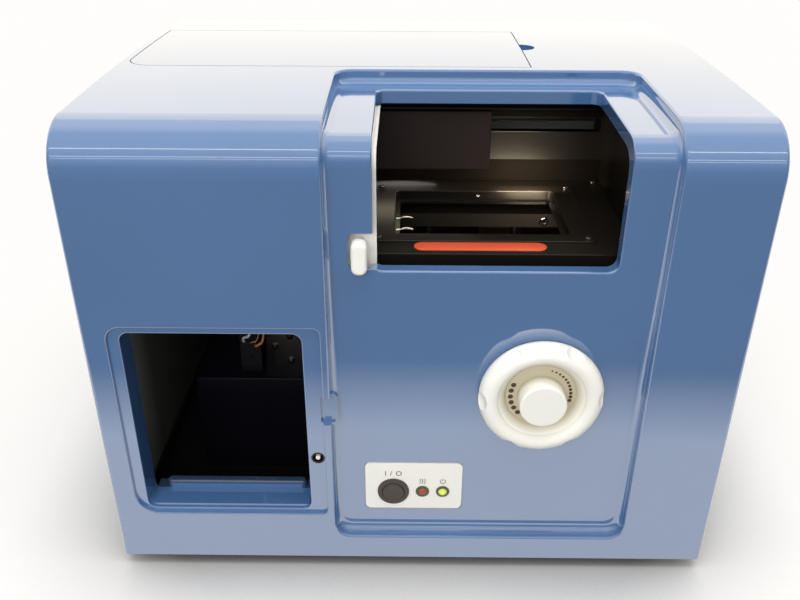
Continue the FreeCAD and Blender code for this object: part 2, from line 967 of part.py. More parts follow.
# Dished knob: a ring with finger dents, an annular groove and a hub, turned as one piece
def knob_dish():
    back = panel_depth - knob_back_gap
    front = -knob_front_reach
    floor_y = knob_groove_floor_depth
    rim_mid = (front + back) / 2 - 2.5
    points = [
        Vector(knob_boss_radius, back, 0),
        Vector(knob_boss_radius, back - 3, 0),
        Vector(knob_radius - knob_wall - 3, back - 3, 0),
        Vector(knob_radius - knob_wall - 3, back, 0),
        Vector(knob_radius - 3, back, 0),
        Vector(knob_radius, rim_mid, 0),
        Vector(knob_radius - 4.5, front + 0.6, 0),
        Vector(knob_radius - 9.5, front, 0),
        Vector(knob_groove_radius + 1.5, front + 4.5, 0),
        Vector(knob_groove_radius - 2.0, floor_y - 3, 0),
        Vector(knob_groove_radius - 4.5, floor_y, 0),
        Vector(knob_hub_radius, floor_y, 0),
        Vector(knob_hub_radius, -knob_hub_reach + knob_cap_thickness, 0),
        Vector(0, -knob_hub_reach + knob_cap_thickness, 0),
        Vector(0, back - 3, 0),
        Vector(shaft_radius, back - 3, 0),
        Vector(shaft_radius, back, 0),
    ]
    edges = [
        Part.LineSegment(points[0], points[1]),
        Part.LineSegment(points[1], points[2]),
        Part.LineSegment(points[2], points[3]),
        Part.LineSegment(points[3], points[4]),
        Part.Arc(points[4], points[5], points[6]),
        Part.Arc(points[6], points[7], points[8]),
        Part.Arc(points[8], points[9], points[10]),
        Part.LineSegment(points[10], points[11]),
        Part.LineSegment(points[11], points[12]),
        Part.LineSegment(points[12], points[13]),
        Part.LineSegment(points[13], points[14]),
        Part.LineSegment(points[14], points[15]),
        Part.LineSegment(points[15], points[16]),
        Part.LineSegment(points[16], points[0]),
    ]
    wire = Part.Wire([edge.toShape() for edge in edges])
    dish = Part.Face(wire).revolve(Vector(0, 0, 0), Y_AXIS, 360)
    dish = dish.cut(rod_y_axis(shaft_radius + seat_gap, 0, 0, back - 3 - shaft_socket_depth, back + 1))
    for dent in knob_dents():
        dish = dish.cut(dent)
    for dot in knob_dots():
        dish = dish.cut(dot)
    dish.translate(Vector(knob_x, 0, knob_z))
    return dish


def knob_dents():
    dents = []
    for index in range(knob_dent_count):
        angle = math.radians(knob_dent_first_angle + index * 360 / knob_dent_count)
        centre = Vector(knob_dent_centre * math.cos(angle), -knob_front_reach - 1,
                        knob_dent_centre * math.sin(angle))
        dents.append(Part.makeSphere(knob_dent_radius, centre))
    return dents


# Two arcs of round holes in the groove floor; the right arc shrinks towards the top
def knob_dots():
    dots = []
    left_dots = 6
    for index in range(left_dots):
        dots.append(knob_dot(157 + index * 13.5, 2.0))
    right_dots = 11
    for index in range(right_dots):
        dots.append(knob_dot(72 - index * 8.4, 0.8 + 0.075 * index))
    return dots


def knob_dot(angle_deg, radius):
    angle = math.radians(angle_deg)
    x = knob_dot_ring_radius * math.cos(angle)
    z = knob_dot_ring_radius * math.sin(angle)
    return rod_y_axis(radius, x, z, knob_groove_floor_depth - 1,
                      knob_groove_floor_depth + knob_dot_depth)


def knob_cap():
    y0 = -knob_hub_reach
    cap = rod_y_axis(knob_hub_radius, knob_x, knob_z, y0, y0 + knob_cap_thickness)
    edges = [e for e in cap.Edges if e.BoundBox.YMax < y0 + 0.01]
    return cap.makeFillet(knob_cap_edge, edges)


def knob_shaft():
    start = panel_depth - knob_back_gap - 3 - shaft_socket_depth
    return rod_y_axis(shaft_radius, knob_x, knob_z, start, shaft_end_depth)


def panel_bush():
    y0 = panel_depth - 0.2
    y_inner = panel_depth + skin
    barrel = rod_y_axis(bush_radius, knob_x, knob_z, y0, y0 + bush_length)
    flange = rod_y_axis(bush_flange_radius, knob_x, knob_z, y_inner, y_inner + bush_flange_thickness)
    bore = rod_y_axis(shaft_radius + running_gap, knob_x, knob_z, y0 - 1, y0 + bush_length + 1)
    return barrel.fuse(flange).removeSplitter().cut(bore)


def retaining_collar():
    y0 = panel_depth - 0.2 + bush_length + 0.5
    ring = rod_y_axis(collar_radius, knob_x, knob_z, y0, y0 + collar_length)
    bore = rod_y_axis(shaft_radius + seat_gap, knob_x, knob_z, y0 - 1, y0 + collar_length + 1)
    return ring.cut(bore)


def pitch_radius():
    return gear_module * pinion_teeth / 2


def involute_point(base_radius, radius, start_angle, turn):
    roll = math.sqrt(max((radius / base_radius) ** 2 - 1, 0))
    angle = start_angle + turn * (roll - math.atan(roll))
    return Vector(radius * math.cos(angle), 0, radius * math.sin(angle))


# Spur pinion with involute flanks, thinned on each side by half of the backlash
def drive_pinion():
    pitch = pitch_radius()
    base = pitch * math.cos(math.radians(pressure_angle))
    tip = pitch + gear_module * 0.95
    root = pitch - gear_module * 1.25
    half_tooth = math.pi / (2 * pinion_teeth) - gear_backlash / (4 * pitch)
    roll = math.sqrt((pitch / base) ** 2 - 1)
    flank_start = half_tooth + roll - math.atan(roll)
    radii = [max(base, root), base + (tip - base) / 3, base + 2 * (tip - base) / 3, tip]
    points = []
    for tooth in range(pinion_teeth):
        middle = math.pi + (tooth + 0.5) * 2 * math.pi / pinion_teeth
        low = middle - flank_start
        high = middle + flank_start
        points.append(Vector(root * math.cos(low), 0, root * math.sin(low)))
        points += [involute_point(base, r, low, 1) for r in radii]
        points += [involute_point(base, r, high, -1) for r in reversed(radii)]
        points.append(Vector(root * math.cos(high), 0, root * math.sin(high)))
    gear = face_of(points).extrude(Vector(0, pinion_width, 0))
    gear.translate(Vector(knob_x, pinion_front, knob_z))
    bore = rod_y_axis(shaft_radius + seat_gap, knob_x, knob_z, pinion_front - 1,
                      pinion_front + pinion_width + 1)
    return gear.cut(bore)


# Rack on the left of the pinion; a tooth lies level with the shaft at rest
def focus_rack():
    pitch_line = knob_x - pitch_radius()
    pitch = math.pi * gear_module
    slope = math.tan(math.radians(pressure_angle))
    tip_x = pitch_line + gear_module * 0.95
    root_x = pitch_line - gear_module * 1.25
    back_x = root_x - rack_back_thickness
    half = pitch / 4 - gear_backlash / 4
    half_tip = half - gear_module * 0.95 * slope
    half_root = half + gear_module * 1.25 * slope
    count_below = int(rack_bottom_margin / pitch)
    count_above = int(rack_top_margin / pitch)
    z_low = carriage_bottom
    z_high = knob_z + (count_above + 0.5) * pitch
    points = [Vector(back_x, 0, z_low), Vector(root_x, 0, z_low)]
    for index in range(-count_below, count_above + 1):
        z = knob_z + index * pitch
        points += [Vector(root_x, 0, z - half_root), Vector(tip_x, 0, z - half_tip),
                   Vector(tip_x, 0, z + half_tip), Vector(root_x, 0, z + half_root)]
    points += [Vector(root_x, 0, z_high), Vector(back_x, 0, z_high)]
    rack = face_of(points).extrude(Vector(0, rack_width, 0))
    rack.translate(Vector(0, rack_front(), 0))
    return rack


def rack_front():
    return pinion_front - (rack_width - pinion_width) / 2


def rack_back_x():
    return knob_x - pitch_radius() - gear_module * 1.25 - rack_back_thickness


def shaft_bracket():
    top = knob_z + bracket_top_margin
    left = knob_x - bracket_width / 2
    right = knob_x + bracket_width / 2
    y1 = bracket_front + bracket_thickness
    upright = block(left, right, bracket_front, y1, pan_top, top)
    shoulder = [e for e in edges_along(upright, Y_AXIS) if e.BoundBox.ZMin > top - 1]
    upright = upright.makeFillet(bracket_width / 3, shoulder)
    toe = block(left, right, bracket_front, bracket_front + bracket_foot_length, pan_top,
                pan_top + bracket_thickness)
    bore = rod_y_axis(shaft_radius + running_gap, knob_x, knob_z, bracket_front - 1, y1 + 1)
    return fuse([upright, toe]).cut(bore)


def rod_xs():
    return (plate_centre_x - rod_spacing / 2, plate_centre_x + rod_spacing / 2)


def rod_bridge_bottom():
    return stage_top - stage_thickness - rod_bridge_below_stage - rod_bridge_height


def guide_rods():
    z0 = pan_top + rod_base_height / 3
    z1 = rod_bridge_bottom() + rod_bridge_height / 2
    return Part.makeCompound([rod_z_axis(rod_radius, x, rod_y, z0, z1) for x in rod_xs()])


def rod_base():
    half = rod_base_width / 2
    bar = block(plate_centre_x - half, plate_centre_x + half, rod_y - rod_base_depth / 2,
                rod_y + rod_base_depth / 2, pan_top, pan_top + rod_base_height)
    for x in rod_xs():
        bar = bar.cut(rod_z_axis(rod_radius, x, rod_y, pan_top + rod_base_height / 3, far))
    return bar


def rod_bridge():
    z0 = rod_bridge_bottom()
    bar = block(chamber_left - liner_sheet, chamber_right + liner_sheet, rod_y - rod_base_depth / 2,
                rod_y + rod_base_depth / 2, z0, z0 + rod_bridge_height)
    for x in rod_xs():
        bar = bar.cut(rod_z_axis(rod_radius, x, rod_y, 0, z0 + rod_bridge_height / 2))
    return bar


# Focus carriage: a block on the two guide rods with a platform that reaches forward
def focus_carriage():
    half = carriage_width / 2
    y0 = rod_y - carriage_depth / 2
    main = block(plate_centre_x - half, plate_centre_x + half, y0, rod_y + carriage_depth / 2,
                 carriage_bottom, carriage_bottom + carriage_height)
    platform = block(plate_centre_x - platform_width / 2, plate_centre_x + platform_width / 2,
                     platform_front, y0 + 1, carriage_bottom, carriage_bottom + platform_thickness)
    arm = block(rack_back_x(), rack_back_x() + rack_back_thickness, rack_front() + rack_width,
                platform_front + 1, carriage_bottom, carriage_bottom + platform_thickness)
    body = fuse([main, platform, arm])
    for x in rod_xs():
        body = body.cut(rod_z_axis(rod_radius + running_gap, x, rod_y, 0, far))
    return body


def camera_bottom():
    return carriage_bottom + platform_thickness


def camera_body():
    half = camera_side / 2
    return rounded_block(plate_centre_x - half, plate_centre_x + half, plate_centre_y - half,
                         plate_centre_y + half, camera_bottom(), camera_bottom() + camera_height,
                         Z_AXIS, camera_edge)


def lens_barrel():
    z0 = camera_bottom() + camera_height
    lower = rod_z_axis(lens_radius - lens_step, plate_centre_x, plate_centre_y, z0, z0 + lens_height)
    ring = rod_z_axis(lens_radius, plate_centre_x, plate_centre_y, z0 + lens_height / 4,
                      z0 + lens_height * 3 / 4)
    bore = rod_z_axis(lens_glass_radius, plate_centre_x, plate_centre_y,
                      z0 + lens_height - lens_bore_depth, z0 + lens_height + 1)
    return fuse([lower, ring]).cut(bore)


def lens_glass():
    z0 = camera_bottom() + camera_height + lens_height - lens_bore_depth
    ball_radius = lens_glass_radius * 1.6
    disc = rod_z_axis(lens_glass_radius, plate_centre_x, plate_centre_y, z0, z0 + 2 * lens_glass_thickness)
    centre_z = z0 + 2 * lens_glass_thickness - ball_radius
    return disc.common(Part.makeSphere(ball_radius, Vector(plate_centre_x, plate_centre_y, centre_z)))


def control_plate():
    y1 = panel_depth + control_pocket
    plate = rounded_block(control_left, control_right, y1 - control_thickness, y1, control_bottom,
                          control_top, Y_AXIS, control_corner)
    plate = plate.cut(rod_y_axis(switch_body_radius + running_gap, switch_x, control_row_z, 0, far))
    for x in (lamp_heat_x, lamp_power_x):
        plate = plate.cut(rod_y_axis(lamp_stem_radius + running_gap, x, control_row_z, 0, far))
    return plate


def plate_front():
    return panel_depth + control_pocket - control_thickness


def switch_ring():
    y0 = plate_front() - switch_ring_reach
    ring = rod_y_axis(switch_ring_radius, switch_x, control_row_z, y0, plate_front())
    outer = [e for e in ring.Edges if e.BoundBox.YMax < y0 + 0.01]
    ring = ring.makeFillet(switch_ring_reach * 0.6, outer)
    barrel = rod_y_axis(switch_body_radius, switch_x, control_row_z, plate_front() - 0.5,
                        plate_front() + switch_body_depth)
    well = rod_y_axis(switch_button_radius + switch_button_gap, switch_x, control_row_z, y0 - 1,
                      plate_front() + switch_body_depth - 4)
    return ring.fuse(barrel).removeSplitter().cut(well)


def power_button():
    y0 = plate_front() - switch_ring_reach - switch_button_reach
    y1 = plate_front() + switch_body_depth - 4 - switch_travel - 1
    button = rod_y_axis(switch_button_radius, switch_x, control_row_z, y0, y1)
    edges = [e for e in button.Edges if e.BoundBox.YMax < y0 + 0.01]
    button = button.makeFillet(1.0, edges)
    ball_radius = 40.0
    dish = Part.makeSphere(ball_radius, Vector(switch_x, y0 + 0.7 - ball_radius, control_row_z))
    return button.cut(dish)


def lamp_ring_at(x):
    y0 = plate_front() - lamp_ring_reach
    flange = rod_y_axis(lamp_ring_radius, x, control_row_z, y0, plate_front())
    edges = [e for e in flange.Edges if e.BoundBox.YMax < y0 + 0.01]
    flange = flange.makeFillet(lamp_ring_reach / 2, edges)
    stem = rod_y_axis(lamp_stem_radius, x, control_row_z, plate_front() - 0.3,
                      plate_front() + lamp_depth)
    bore = rod_y_axis(lamp_lens_radius + seat_gap, x, control_row_z, 0,
                      plate_front() + lamp_depth - 3)
    return flange.fuse(stem).removeSplitter().cut(bore)


def lamp_rings():
    return Part.makeCompound([lamp_ring_at(x) for x in (lamp_heat_x, lamp_power_x)])


def lamp_lens(x):
    y_base = plate_front() + lamp_depth - 3
    y_tip = plate_front() - lamp_ring_reach
    post = rod_y_axis(lamp_lens_radius, x, control_row_z, y_tip - lamp_dome, y_base)
    ball_radius = (lamp_lens_radius ** 2 + lamp_dome ** 2) / (2 * lamp_dome)
    centre = Vector(x, y_tip - lamp_dome + ball_radius, control_row_z)
    tail = block(x - far, x + far, centre.y, far, -far, far)
    return post.common(Part.makeSphere(ball_radius, centre).fuse(tail))


# Chamber liner: folded sheet with a stepped, slotted rear wall and inward flanges
def liner_wall_profile(offset):
    step_z = stage_top + liner_step_bottom
    y_low = liner_low_wall_y + offset
    y_mid = y_low + liner_step
    y_high = y_mid + liner_small_step
    z1 = step_z + liner_step_height
    z2 = z1 + liner_slot_height
    z3 = z2 + liner_small_step_height
    return [Vector(0, y_low, stage_bottom() - liner_sheet - 2), Vector(0, y_low, step_z),
            Vector(0, y_mid, z1), Vector(0, y_mid, z2), Vector(0, y_high, z3),
            Vector(0, y_high, top_z)]


def stage_bottom():
    return stage_top - stage_thickness


def liner_interior(offset, inset, x0, x1, z0):
    wall = liner_wall_profile(offset)
    points = [Vector(0, -far, z0)] + [Vector(0, wall[0].y, z0)] + wall[1:] + [Vector(0, -far, top_z)]
    face = face_of(points)
    face.translate(Vector(x0, 0, 0))
    return face.extrude(Vector(x1 - x0, 0, 0)).common(layer_form(inset))


def slot_bottom():
    return stage_top + liner_step_bottom + liner_step_height


def chamber_liner():
    x0 = chamber_left
    x1 = chamber_right
    z0 = stage_bottom() - liner_sheet
    outside = liner_interior(liner_sheet, liner_inset, x0 - liner_sheet, x1 + liner_sheet, z0)
    inside = liner_interior(0.0, liner_inset + liner_sheet, x0, x1, stage_bottom())
    front_open = block(x0, x1, -far, door_back() + rail_gap + rail_wall + 2, stage_bottom(), top_z)
    floor_open = block(x0 + liner_flange, x1 - liner_flange, -far, liner_low_wall_y - liner_flange,
                       0, stage_bottom() + 1)
    slot = block(x0 + 1, x1 - 1, liner_low_wall_y, far, slot_bottom() + 0.5,
                 slot_bottom() + liner_slot_height - 0.5)
    apron_space = block(x0, x1, -far, stage_front + stage_gap, z0 - 1, stage_bottom() + 1)
    liner = outside.cut(inside).cut(front_open).cut(floor_open).cut(slot).cut(apron_space)
    for x, y in stage_screw_places():
        liner = liner.cut(rod_z_axis(small_screw_radius + screw_clearance, x, y, 0, stage_bottom() + 1))
    return liner


def stage_plate():
    x0 = chamber_left + stage_gap
    x1 = chamber_right - stage_gap
    plate = block(x0, x1, stage_front, liner_low_wall_y - stage_gap, stage_bottom(), stage_top)
    apron = block(x0, x1, stage_front - liner_sheet * 2, stage_front, stage_top - stage_apron, stage_top)
    body = fuse([plate, apron])
    front_rim = [e for e in edges_along(body, X_AXIS)
                 if e.BoundBox.ZMin > stage_top - 0.01 and e.BoundBox.YMax < stage_front]
    body = body.makeChamfer(edge_break, front_rim)
    gap = stage_gap
    hole = frame_block(pocket_x + 2 * pocket_wall + 2 * gap, pocket_y + 2 * pocket_wall + 2 * gap,
                       0, far, pocket_corner + pocket_wall)
    body = body.cut(hole)
    for x, y in frame_screw_places() + stage_screw_places():
        body = body.cut(rod_z_axis(small_screw_radius + screw_clearance, x, y, 0, far))
    return body


def frame_block(size_x, size_y, z0, z1, corner):
    return rounded_block(plate_centre_x - size_x / 2, plate_centre_x + size_x / 2,
                         plate_centre_y - size_y / 2, plate_centre_y + size_y / 2, z0, z1,
                         Z_AXIS, corner)


# Plate frame: a flanged pocket with a ledge that carries the plate's rim
def plate_frame():
    top = stage_top + frame_flange_thickness
    floor = top - pocket_depth
    flange = frame_block(frame_flange_x, frame_flange_y, stage_top, top, frame_corner)
    tub = frame_block(pocket_x + 2 * pocket_wall, pocket_y + 2 * pocket_wall,
                      floor - ledge_thickness, top, pocket_corner + pocket_wall)
    body = fuse([flange, tub])
    body = body.cut(frame_block(pocket_x, pocket_y, floor, top + 1, pocket_corner))
    body = body.cut(frame_block(ledge_x, ledge_y, 0, far, pocket_corner))
    rims = [e for e in body.Edges if e.BoundBox.ZMin > top - 0.01]
    body = body.makeChamfer(edge_break, rims)
    for x, y in frame_screw_places():
        body = body.cut(rod_z_axis(small_screw_radius + screw_clearance, x, y, 0, far))
    return body


def frame_screw_places():
    return [(plate_centre_x + sx * frame_screw_x / 2, plate_centre_y + sy * frame_screw_y / 2)
            for sx in (-1, 1) for sy in (-1, 1)]


def stage_screw_places():
    x0 = chamber_left + stage_screw_inset
    x1 = chamber_right - stage_screw_inset
    y0 = stage_front + stage_screw_inset
    y1 = liner_low_wall_y - stage_screw_inset
    return [(x0, y0), (x1, y0), (x0, y1), (x1, y1)]


def small_screw(x, y, seat_z):
    head = rod_z_axis(small_screw_head_radius, x, y, seat_z, seat_z + small_screw_head_height)
    rim = [e for e in head.Edges if e.BoundBox.ZMin > seat_z + 0.5]
    head = head.makeFillet(small_screw_head_height / 2, rim)
    shank = rod_z_axis(small_screw_radius, x, y, seat_z - small_screw_length, seat_z + 0.5)
    return head.fuse(shank).removeSplitter()


def frame_screws():
    seat = stage_top + frame_flange_thickness
    return Part.makeCompound([small_screw(x, y, seat) for x, y in frame_screw_places()])


def stage_screws():
    return Part.makeCompound([small_screw(x, y, stage_top) for x, y in stage_screw_places()])


def heater_film():
    inner_x = pocket_x + 2 * pocket_wall + 2 * stage_gap + 2 * heater_gap
    inner_y = pocket_y + 2 * pocket_wall + 2 * stage_gap + 2 * heater_gap
    z1 = stage_bottom()
    z0 = z1 - heater_thickness
    ring = frame_block(inner_x + heater_width, inner_y + heater_width, z0, z1, frame_corner)
    return ring.cut(frame_block(inner_x, inner_y, 0, far, frame_corner))


def light_head():
    x1 = head_left + head_width
    y1 = head_front + head_depth
    box = block(head_left, x1, head_front, y1, head_bottom, head_top)
    box = box.makeFillet(head_edge, box.Edges)
    recess = block(head_left + diffuser_margin, x1 - diffuser_margin, head_front + diffuser_margin,
                   y1 - diffuser_margin, head_bottom - 1, head_bottom + diffuser_thickness)
    return box.cut(recess)


def head_diffuser():
    gap = running_gap
    return block(head_left + diffuser_margin + gap, head_left + head_width - diffuser_margin - gap,
                 head_front + diffuser_margin + gap, head_front + head_depth - diffuser_margin - gap,
                 head_bottom + 0.4, head_bottom + diffuser_thickness)


def head_centre_x():
    return head_left + head_width / 2


def arm_bottom():
    return slot_bottom() + liner_slot_height / 2 - arm_thickness / 2


def head_arm():
    x0 = head_centre_x() - arm_width / 2
    y0 = head_front + head_depth
    return block(x0, x0 + arm_width, y0, head_rail_y - runner_wall, arm_bottom(),
                 arm_bottom() + arm_thickness)


def rail_bottom():
    return arm_bottom() + arm_thickness / 2 - head_rail_height / 2


# Runner block on the rail, open to the rear where the rail is screwed to its beam
def head_runner():
    x0 = head_centre_x() - runner_length / 2
    z0 = rail_bottom() - runner_wall
    body = block(x0, x0 + runner_length, head_rail_y - runner_wall, head_rail_y + head_rail_width - 2,
                 z0, z0 + head_rail_height + 2 * runner_wall)
    slot = block(x0 - 1, x0 + runner_length + 1, head_rail_y - rail_gap, far,
                 rail_bottom() - rail_gap, rail_bottom() + head_rail_height + rail_gap)
    return body.cut(slot)


def head_rail():
    return block(chamber_left + 2, chamber_right - 2, head_rail_y, head_rail_y + head_rail_width,
                 rail_bottom(), rail_bottom() + head_rail_height)


def rail_beam():
    y0 = head_rail_y + head_rail_width
    z0 = rail_bottom() + head_rail_height / 2 - beam_height / 2
    return block(chamber_left - liner_sheet, chamber_right + liner_sheet, y0, y0 + beam_thickness,
                 z0, z0 + beam_height)


# Chassis side plate: follows the door's path above and stands on the pan with a folded foot
def chassis_plate(inner_x, outward):
    x0 = min(inner_x, inner_x + outward * chassis_thickness)
    x1 = x0 + chassis_thickness
    plate = block(x0, x1, 0, chassis_back, pan_top, top_z).common(layer_form(liner_inset))
    toe = block(min(x0, x0 + outward * chassis_foot), max(x1, x1 + outward * chassis_foot),
                liner_inset, chassis_back, pan_top, pan_top + chassis_thickness)
    return fuse([plate, toe])


def chassis_left():
    return chassis_plate(chamber_left - liner_sheet, -1)


def chassis_right():
    return chassis_plate(chamber_right + liner_sheet, 1)


def bay_wall():
    x0 = chamber_left - liner_sheet
    x1 = chamber_right + liner_sheet
    wall = block(x0, x1, chassis_back - chassis_thickness, chassis_back, pan_top, top_z)
    wall = wall.common(layer_form(liner_inset))
    motor_hole = rod_y_axis(motor_boss_radius + 1, motor_x, motor_z, 0, far)
    return wall.cut(motor_hole)


def scan_motor():
    y1 = chassis_back - chassis_thickness
    half = motor_side / 2
    body = rounded_block(motor_x - half, motor_x + half, y1 - motor_length, y1, motor_z - half,
                         motor_z + half, Y_AXIS, motor_edge)
    boss = rod_y_axis(motor_boss_radius, motor_x, motor_z, y1 - 1, y1 + motor_boss_height)
    shaft = rod_y_axis(shaft_radius / 2, motor_x, motor_z, y1, y1 + 16)
    return fuse([body, boss, shaft])


def tension_screw():
    y1 = chassis_back - chassis_thickness
    head = rod_y_axis(tension_screw_radius, tension_screw_x, tension_screw_z, y1 - 14, y1)
    rim = [e for e in head.Edges if e.BoundBox.YMax < y1 - 13]
    head = head.makeFillet(1.5, rim)
    groove_ring = rod_y_axis(tension_screw_radius + 1, tension_screw_x, tension_screw_z, y1 - 8, y1 - 6)
    core = rod_y_axis(tension_screw_radius - 1.5, tension_screw_x, tension_screw_z, y1 - 9, y1 - 5)
    return head.cut(groove_ring.cut(core))


def compartment_sill():
    x0 = -body_half + bay_left_margin + sheet_gap
    x1 = bay_right - sheet_gap
    z0 = bay_bottom + sheet_gap
    y0 = bay_recess_depth + 2
    tray = block(x0, x1, y0, y0 + sill_depth, z0, z0 + sill_thickness)
    tray = tray.common(bay_opening(-sheet_gap, y0, y0 + sill_depth))
    lip = rounded_block(x0 + sill_lip_left_margin, x1 - sill_lip_right_margin, sill_lip_start,
                        sill_lip_start + sill_lip_width, z0, z0 + sill_thickness + sill_lip_height,
                        Z_AXIS, sill_lip_width / 2 - 0.5)
    top = [e for e in lip.Edges if e.BoundBox.ZMin > z0 + sill_thickness + 1]
    top = [e for e in top if e.BoundBox.ZMax - e.BoundBox.ZMin < 0.01]
    lip = lip.makeFillet(sill_lip_edge, top)
    return fuse([tray, lip])


def catch_cup():
    y1 = catch_depth
    cup = rod_y_axis(catch_hole_radius + catch_wall, catch_x, catch_z, bay_recess_depth, y1)
    return cup.cut(rod_y_axis(catch_hole_radius, catch_x, catch_z, 0, y1 - catch_wall))


def catch_pin():
    y1 = catch_depth - catch_wall
    pin = rod_y_axis(catch_pin_radius, catch_x, catch_z, y1 - catch_pin_height, y1)
    tip = [e for e in pin.Edges if e.BoundBox.YMax < y1 - catch_pin_height + 0.01]
    return pin.makeFillet(0.6, tip)


def inner_box():
    x0 = box_left
    x1 = chamber_left - liner_sheet - chassis_thickness - chassis_foot - 2
    box = block(x0, x1, box_front, box_back, pan_top, box_top)
    top_front = [e for e in box.Edges
                 if e.BoundBox.ZMin > box_top - 0.01 and e.BoundBox.YMax < box_back - 1]
    box = box.makeFillet(box_edge, top_front + [e for e in edges_along(box, Z_AXIS)
                                                if e.BoundBox.YMax < box_back - 1])
    return box.cut(block(x0 + box_sheet, x1 - box_sheet, box_front + box_sheet, box_back - box_sheet,
                         0, box_top - box_sheet))


# Terminal block on top of the box, with a clamping screw at its front
def terminal_block():
    x1 = terminal_left + terminal_width
    y1 = terminal_front + terminal_depth
    body = block(terminal_left, x1, terminal_front, y1, box_top, box_top + terminal_height)
    upper = [e for e in body.Edges if e.BoundBox.ZMin > box_top + 0.01]
    body = body.makeFillet(terminal_edge, upper)
    screw = rod_y_axis(terminal_screw_radius, (terminal_left + x1) / 2, box_top + terminal_screw_above,
                       terminal_front - terminal_screw_height, terminal_front + terminal_screw_height)
    return fuse([body, screw])


def power_supply():
    x0 = box_left + supply_margin
    y0 = box_front + supply_margin
    return rounded_block(x0, x0 + supply_length, y0, y0 + supply_width, pan_top,
                         pan_top + supply_height, Z_AXIS, 2.0)


def board_x():
    return chamber_right + liner_sheet + chassis_thickness + board_stand_off


def controller_board():
    x0 = board_x()
    y0 = liner_inset + board_front_gap
    z0 = pan_top + board_above_pan
    y1 = y0 + board_length
    z1 = z0 + board_height
    parts = [block(x0, x0 + board_thickness, y0, y1, z0, z1)]
    for y in (y0 + stand_off_inset, y1 - stand_off_inset):
        for z in (z0 + stand_off_inset, z1 - stand_off_inset):
            parts.append(cylinder(stand_off_radius, board_stand_off, Vector(x0 - board_stand_off, y, z),
                                  X_AXIS))
    face = x0 + board_thickness
    chip_y = y0 + chip_inset
    chip_z = z0 + chip_inset
    parts.append(block(face, face + chip_height, chip_y, chip_y + chip_side, chip_z,
                       chip_z + chip_side))
    strip_y = y1 - plug_strip_from_back
    strip_z = z0 + plug_strip_from_bottom
    parts.append(block(face, face + plug_strip_height, strip_y, strip_y + plug_strip_length, strip_z,
                       strip_z + plug_strip_width))
    capacitor_place = Vector(face, y1 - capacitor_from_back, z1 - capacitor_from_top)
    parts.append(cylinder(capacitor_radius, capacitor_height, capacitor_place, X_AXIS))
    return fuse(parts)


def fan_housing():
    half = fan_side / 2
    y1 = body_depth - rear_rebate
    y0 = y1 - fan_depth
    frame = rounded_block(fan_x - half, fan_x + half, y0, y1, fan_z - half, fan_z + half, Y_AXIS, 5.0)
    frame = frame.cut(rod_y_axis(fan_duct_radius, fan_x, fan_z, y0 - 1, y1 + 1))
    spokes = []
    for index in range(4):
        spoke = block(fan_hub_radius - 4, fan_duct_radius + 1, y0, y0 + fan_spoke_depth,
                      -fan_spoke_width / 2, fan_spoke_width / 2)
        spoke.rotate(Vector(0, 0, 0), Y_AXIS, 45 + index * 90)
        spoke.translate(Vector(fan_x, 0, fan_z))
        spokes.append(spoke)
    plate = rod_y_axis(fan_hub_radius, fan_x, fan_z, y0, y0 + fan_spoke_depth)
    post = rod_y_axis(fan_post_radius, fan_x, fan_z, y0 + 1, y0 + fan_depth - 6)
    return fuse([frame] + spokes + [plate, post])


def fan_impeller():
    y1 = body_depth - rear_rebate
    y0 = y1 - fan_depth + fan_spoke_depth + 1
    y_end = y1 - 3
    hub = rod_y_axis(fan_hub_radius, 0, 0, y0, y_end)
    rim = [e for e in hub.Edges if e.BoundBox.YMin > y_end - 0.01]
    hub = hub.makeFillet(2.0, rim)
    blades = []
    reach = fan_duct_radius - fan_blade_gap
    span = y_end - y0
    for index in range(fan_blade_count):
        blade = block(fan_hub_radius - 2, reach, -span / 2 - 2, span / 2 + 2,
                      -fan_blade_thickness / 2, fan_blade_thickness / 2)
        blade.rotate(Vector(0, 0, 0), X_AXIS, fan_blade_pitch)
        blade.translate(Vector(0, (y0 + y_end) / 2, 0))
        blade.rotate(Vector(0, 0, 0), Y_AXIS, index * 360 / fan_blade_count)
        blades.append(blade)
    wheel = fuse([hub] + blades)
    limit = rod_y_axis(reach, 0, 0, y0, y_end)
    wheel = wheel.common(limit)
    wheel = wheel.cut(rod_y_axis(fan_post_radius + running_gap, 0, 0, y0 - 1, y1 - 5))
    wheel.translate(Vector(fan_x, 0, fan_z))
    return wheel


def mains_inlet():
    y1 = body_depth + inlet_flange_thickness
    flange = rounded_block(inlet_x - inlet_flange_width / 2, inlet_x + inlet_flange_width / 2,
                           body_depth, y1, inlet_z - inlet_flange_height / 2,
                           inlet_z + inlet_flange_height / 2, Y_AXIS, 3.0)
    body = block(inlet_x - inlet_width / 2, inlet_x + inlet_width / 2, body_depth - inlet_depth,
                 body_depth + 1, inlet_z - inlet_height / 2, inlet_z + inlet_height / 2)
    cavity = rounded_block(inlet_x - inlet_cavity_width / 2, inlet_x + inlet_cavity_width / 2,
                           y1 - inlet_cavity_depth, y1 + 1, inlet_z - inlet_cavity_height / 2,
                           inlet_z + inlet_cavity_height / 2, Y_AXIS, 2.0)
    shell = fuse([flange, body]).cut(cavity)
    pins = []
    for dx, dz in ((-7, -1.5), (0, 2.5), (7, -1.5)):
        pins.append(block(inlet_x + dx - 1, inlet_x + dx + 1, y1 - inlet_cavity_depth - 1, y1 - 4,
                          inlet_z + dz - 2, inlet_z + dz + 2))
    return fuse([shell] + pins)


